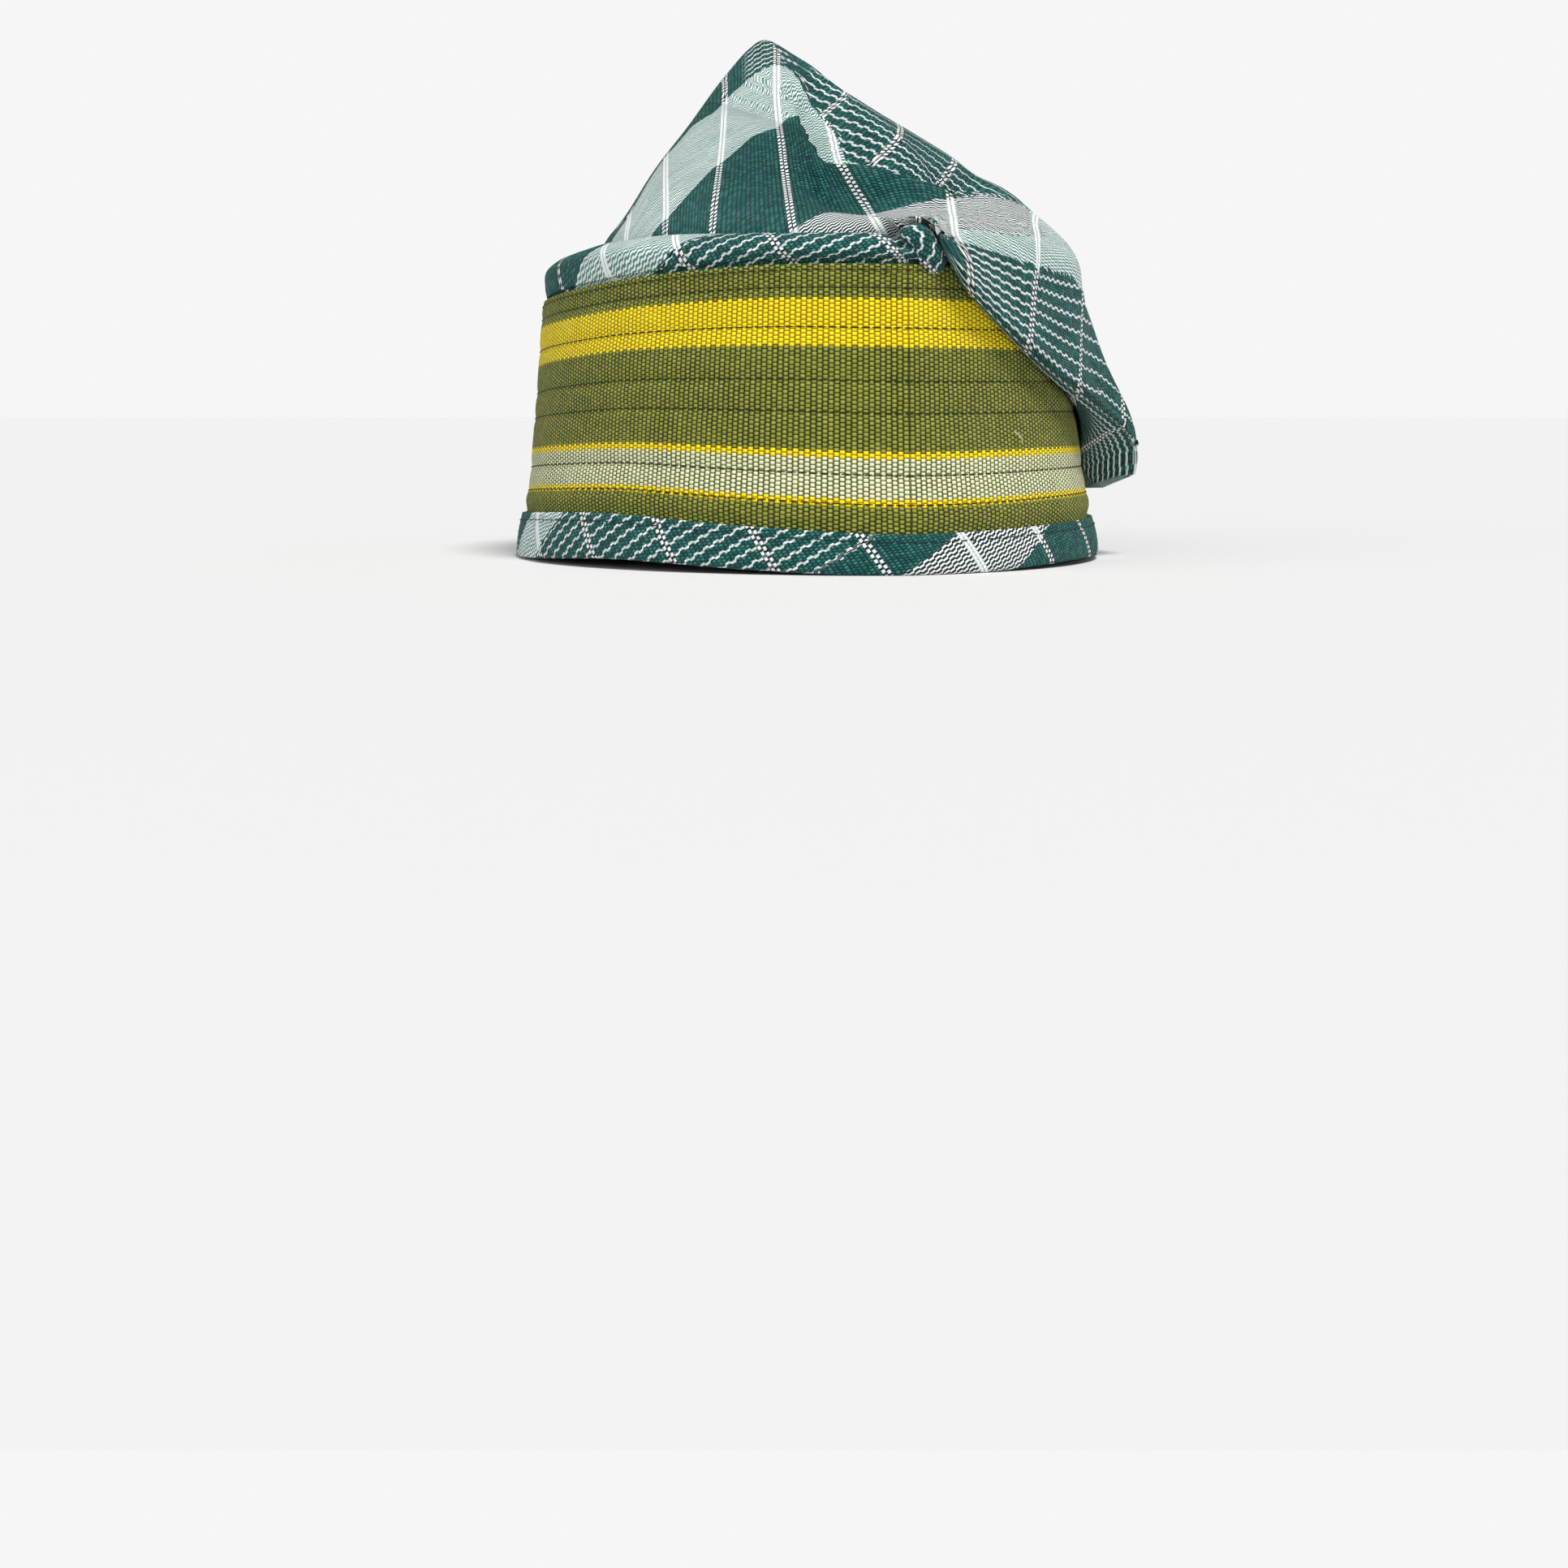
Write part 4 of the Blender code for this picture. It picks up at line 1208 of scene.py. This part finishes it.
def stitch_tree():
    """Short threads along a line: each lies in the cloth, with its ends drawn in."""
    tree = bpy.data.node_groups.new("stitches", "GeometryNodeTree")
    inputs = {"Line": "Geometry", "Stitch": "Float", "Gap": "Float", "Thickness": "Float",
              "Thread": "Material"}
    for label, kind in inputs.items():
        tree.interface.new_socket(label, in_out="INPUT", socket_type="NodeSocket" + kind)
    tree.interface.new_socket("Stitches", in_out="OUTPUT", socket_type="NodeSocketGeometry")
    given = tree.nodes.new("NodeGroupInput")
    line, stitch, gap, thickness, thread = (Wire(tree, given.outputs[i]) for i in range(5))
    curve = add_node(tree, "GeometryNodeMeshToCurve", None, {"Mesh": line})
    places = add_node(tree, "GeometryNodeResampleCurve", {"mode": "LENGTH"},
                      {"Curve": curve, "Length": stitch + gap})
    tangent = add_node(tree, "GeometryNodeInputTangent")
    turn = add_node(tree, "FunctionNodeAlignRotationToVector", {"axis": "Z"}, {"Vector": tangent})
    shape = add_node(tree, "GeometryNodeMeshUVSphere", None, {"Segments": 6, "Rings": 5, "Radius": 0.5})
    size = add_node(tree, "ShaderNodeCombineXYZ", None, {"X": thickness, "Y": thickness, "Z": stitch})
    laid = add_node(tree, "GeometryNodeInstanceOnPoints", None,
                    {"Points": places, "Instance": shape, "Rotation": turn, "Scale": size})
    real = add_node(tree, "GeometryNodeRealizeInstances", None, {"Geometry": laid})
    done = add_node(tree, "GeometryNodeSetMaterial", None, {"Geometry": real, "Material": thread})
    result = tree.nodes.new("NodeGroupOutput")
    tree.links.new(done.socket, result.inputs[0])
    return tree


def make_stitches(name, lines, stitch, gap, thickness, thread):
    """One mesh of stitches along closed lines of points, all sizes in millimetres."""
    points, edges = [], []
    for line in lines:
        first = len(points)
        points += [in_frame(point) for point in line]
        edges += [(first + i, first + (i + 1) % len(line)) for i in range(len(line))]
    mesh = bpy.data.meshes.new(name)
    mesh.from_pydata([tuple(point) for point in points], edges, [])
    path = add_object(name, mesh)
    tree = stitch_tree()
    sewing = path.modifiers.new("stitches", "NODES")
    sewing.node_group = tree
    values = {"Stitch": stitch * MM, "Gap": gap * MM, "Thickness": thickness * MM, "Thread": thread}
    for socket in tree.interface.items_tree:
        if socket.in_out == "INPUT" and socket.name in values:
            sewing[socket.identifier] = values[socket.name]
    bpy.context.view_layer.update()
    graph = bpy.context.evaluated_depsgraph_get()
    made = bpy.data.meshes.new_from_object(path.evaluated_get(graph))
    path.modifiers.clear()
    path.data = made
    path.data.name = name
    for polygon in made.polygons:
        polygon.use_smooth = True
    return path


def band_line(share):
    """A sewn line round the band, drawn into its cloth."""
    line = []
    for angle in angles():
        top, bottom = level(angle, "band_top"), level(angle, "band_bottom")
        offset = swell_and_dent(angle, share) + swell_of_band(angle, share) - 0.8 * LINE_DEPTH
        line.append(on_band(angle, offset, top - share * (top - bottom)))
    return line


def make_loose_thread():
    """A pale thread end that stands off the band, above the pale stripe on the wearer's left."""
    places = (27.2, 0.2, 34.6), (27.0, 0.8, 35.4), (26.3, 1.2, 36.4), (25.3, 1.2, 37.3), (24.6, 0.9, 37.9)
    points = np.array([on_band(*place) for place in places])
    mesh = bpy.data.meshes.new("loose_thread")
    work = bmesh.new()
    rings = []
    count, sides = 16, 8
    path = [between(points, i * (len(points) - 1) / count) for i in range(count + 1)]
    for i, point in enumerate(path):
        ahead = path[min(i + 1, count)] - path[max(i - 1, 0)]
        ahead /= np.linalg.norm(ahead)
        first = np.cross(ahead, [0, 0, 1.0])
        first /= np.linalg.norm(first)
        second = np.cross(ahead, first)
        radius = 0.16 if 0 < i < count else 0.03
        turns = np.linspace(0, 2 * pi, sides + 1)[:-1]
        rings.append([work.verts.new(in_frame(point + (first * cos(a) + second * sin(a)) * radius))
                      for a in turns])
    for low, high in zip(rings, rings[1:]):
        for j in range(sides):
            work.faces.new((low[j], low[(j + 1) % sides], high[(j + 1) % sides], high[j])).smooth = True
    work.faces.new(list(reversed(rings[0])))
    work.faces.new(rings[-1])
    bmesh.ops.recalc_face_normals(work, faces=work.faces)
    work.to_mesh(mesh)
    work.free()
    return add_object("loose_thread", mesh)


plaid = plaid_cloth("plaid_cloth")
striped = band_cloth("striped_band_cloth")
dark_thread = thread_material("dark_sewing_thread", colour(44, 48, 16))
teal_thread = thread_material("teal_sewing_thread", colour(14, 52, 52))
pale_thread = thread_material("pale_thread", colour(225, 228, 200))

crown, band, rim, hem = make_crown(), make_band(), make_rim(), make_hem()
roll_end = make_roll_end()
for piece, finish in ((crown, plaid), (band, striped), (rim, plaid), (hem, plaid), (roll_end, plaid)):
    piece.data.materials.append(finish)
band_lines = [band_line(share) for share in SEWN_LINES]
hem_line, rim_line = ring_at(1.95, "band_bottom", -2.2), ring_at(0.15, "band_top", -1.2)
band_sewing = make_stitches("band_stitches", band_lines, 2.6, 0.3, 0.4, dark_thread)
hem_sewing = make_stitches("hem_stitches", [hem_line], 2.4, 0.8, 0.4, teal_thread)
rim_sewing = make_stitches("rim_stitches", [rim_line], 2.4, 0.6, 0.45, dark_thread)
loose = make_loose_thread()
loose.data.materials.append(pale_thread)

for piece in (crown, band, rim, hem, roll_end, band_sewing, hem_sewing, rim_sewing, loose):
    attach(piece, "root")
for piece, node, slot in ((crown, "crown", "crown_cloth"), (band, "band", "band_cloth"),
                          (rim, "rim_binding", "rim_cloth"), (hem, "hem_binding", "hem_cloth")):
    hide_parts(node)


def make_floor():
    mesh = bpy.data.meshes.new("floor")
    far = 80
    mesh.from_pydata([(-far, -far, 0), (far, -far, 0), (far, far, 0), (-far, far, 0)], [], [(0, 1, 2, 3)])
    piece = add_object("floor", mesh)
    material = bpy.data.materials.new("pale_floor")
    material.use_nodes = True
    shader = material.node_tree.nodes["Principled BSDF"]
    shader.inputs["Base Color"].default_value = (0.74, 0.74, 0.74, 1)
    shader.inputs["Roughness"].default_value = 0.95
    shader.inputs["Specular IOR Level"].default_value = 0.1
    mesh.materials.append(material)


def make_lamp(name, turn, rise, strength, softness):
    """A broad soft lamp far away, at a turn from the front and a rise above the floor, in degrees."""
    light = bpy.data.lights.new(name, "SUN")
    light.energy, light.angle = strength, radians(softness)
    lamp = add_object(name, light)
    a, e = radians(turn), radians(rise)
    toward = Vector((sin(a) * cos(e), -cos(a) * cos(e), sin(e)))
    lamp.rotation_euler = (-toward).to_track_quat("-Z", "Y").to_euler()


def make_world(horizon, overhead):
    """A pale studio: bright round the horizon and dimmer overhead."""
    world = bpy.data.worlds.new("studio")
    world.use_nodes = True
    tree = world.node_tree
    direction = tree.nodes.new("ShaderNodeTexCoord")
    parts = tree.nodes.new("ShaderNodeSeparateXYZ")
    tree.links.new(direction.outputs["Generated"], parts.inputs[0])
    up = Wire(tree, parts.outputs[2]).between(0.17, 0.45)
    shade = up.blend((horizon, horizon, horizon, 1.0), (overhead, overhead, overhead, 1.0))
    back = tree.nodes["Background"]
    tree.links.new(shade.socket, back.inputs["Color"])
    back.inputs["Strength"].default_value = 1.0
    bpy.context.scene.world = world


def make_camera():
    data = bpy.data.cameras.new("photo_view")
    data.sensor_width = 36
    data.lens = VIEW_FOCAL / PHOTO_SIZE * data.sensor_width
    camera = add_object("photo_view", data)
    turn = Matrix([list(axis) for axis in (VIEW_RIGHT, VIEW_UP, -VIEW_TOWARD)]).transposed().to_4x4()
    camera.matrix_world = Matrix.Translation(list(in_frame(VIEW_EYE))) @ turn
    bpy.context.scene.camera = camera


make_floor()
make_world(0.92, 0.18)
make_lamp("key", 12, 62, 3.1, 22)
make_lamp("fill", -62, 28, 0.6, 60)
make_camera()
bpy.context.scene.view_settings.view_transform = "Standard"
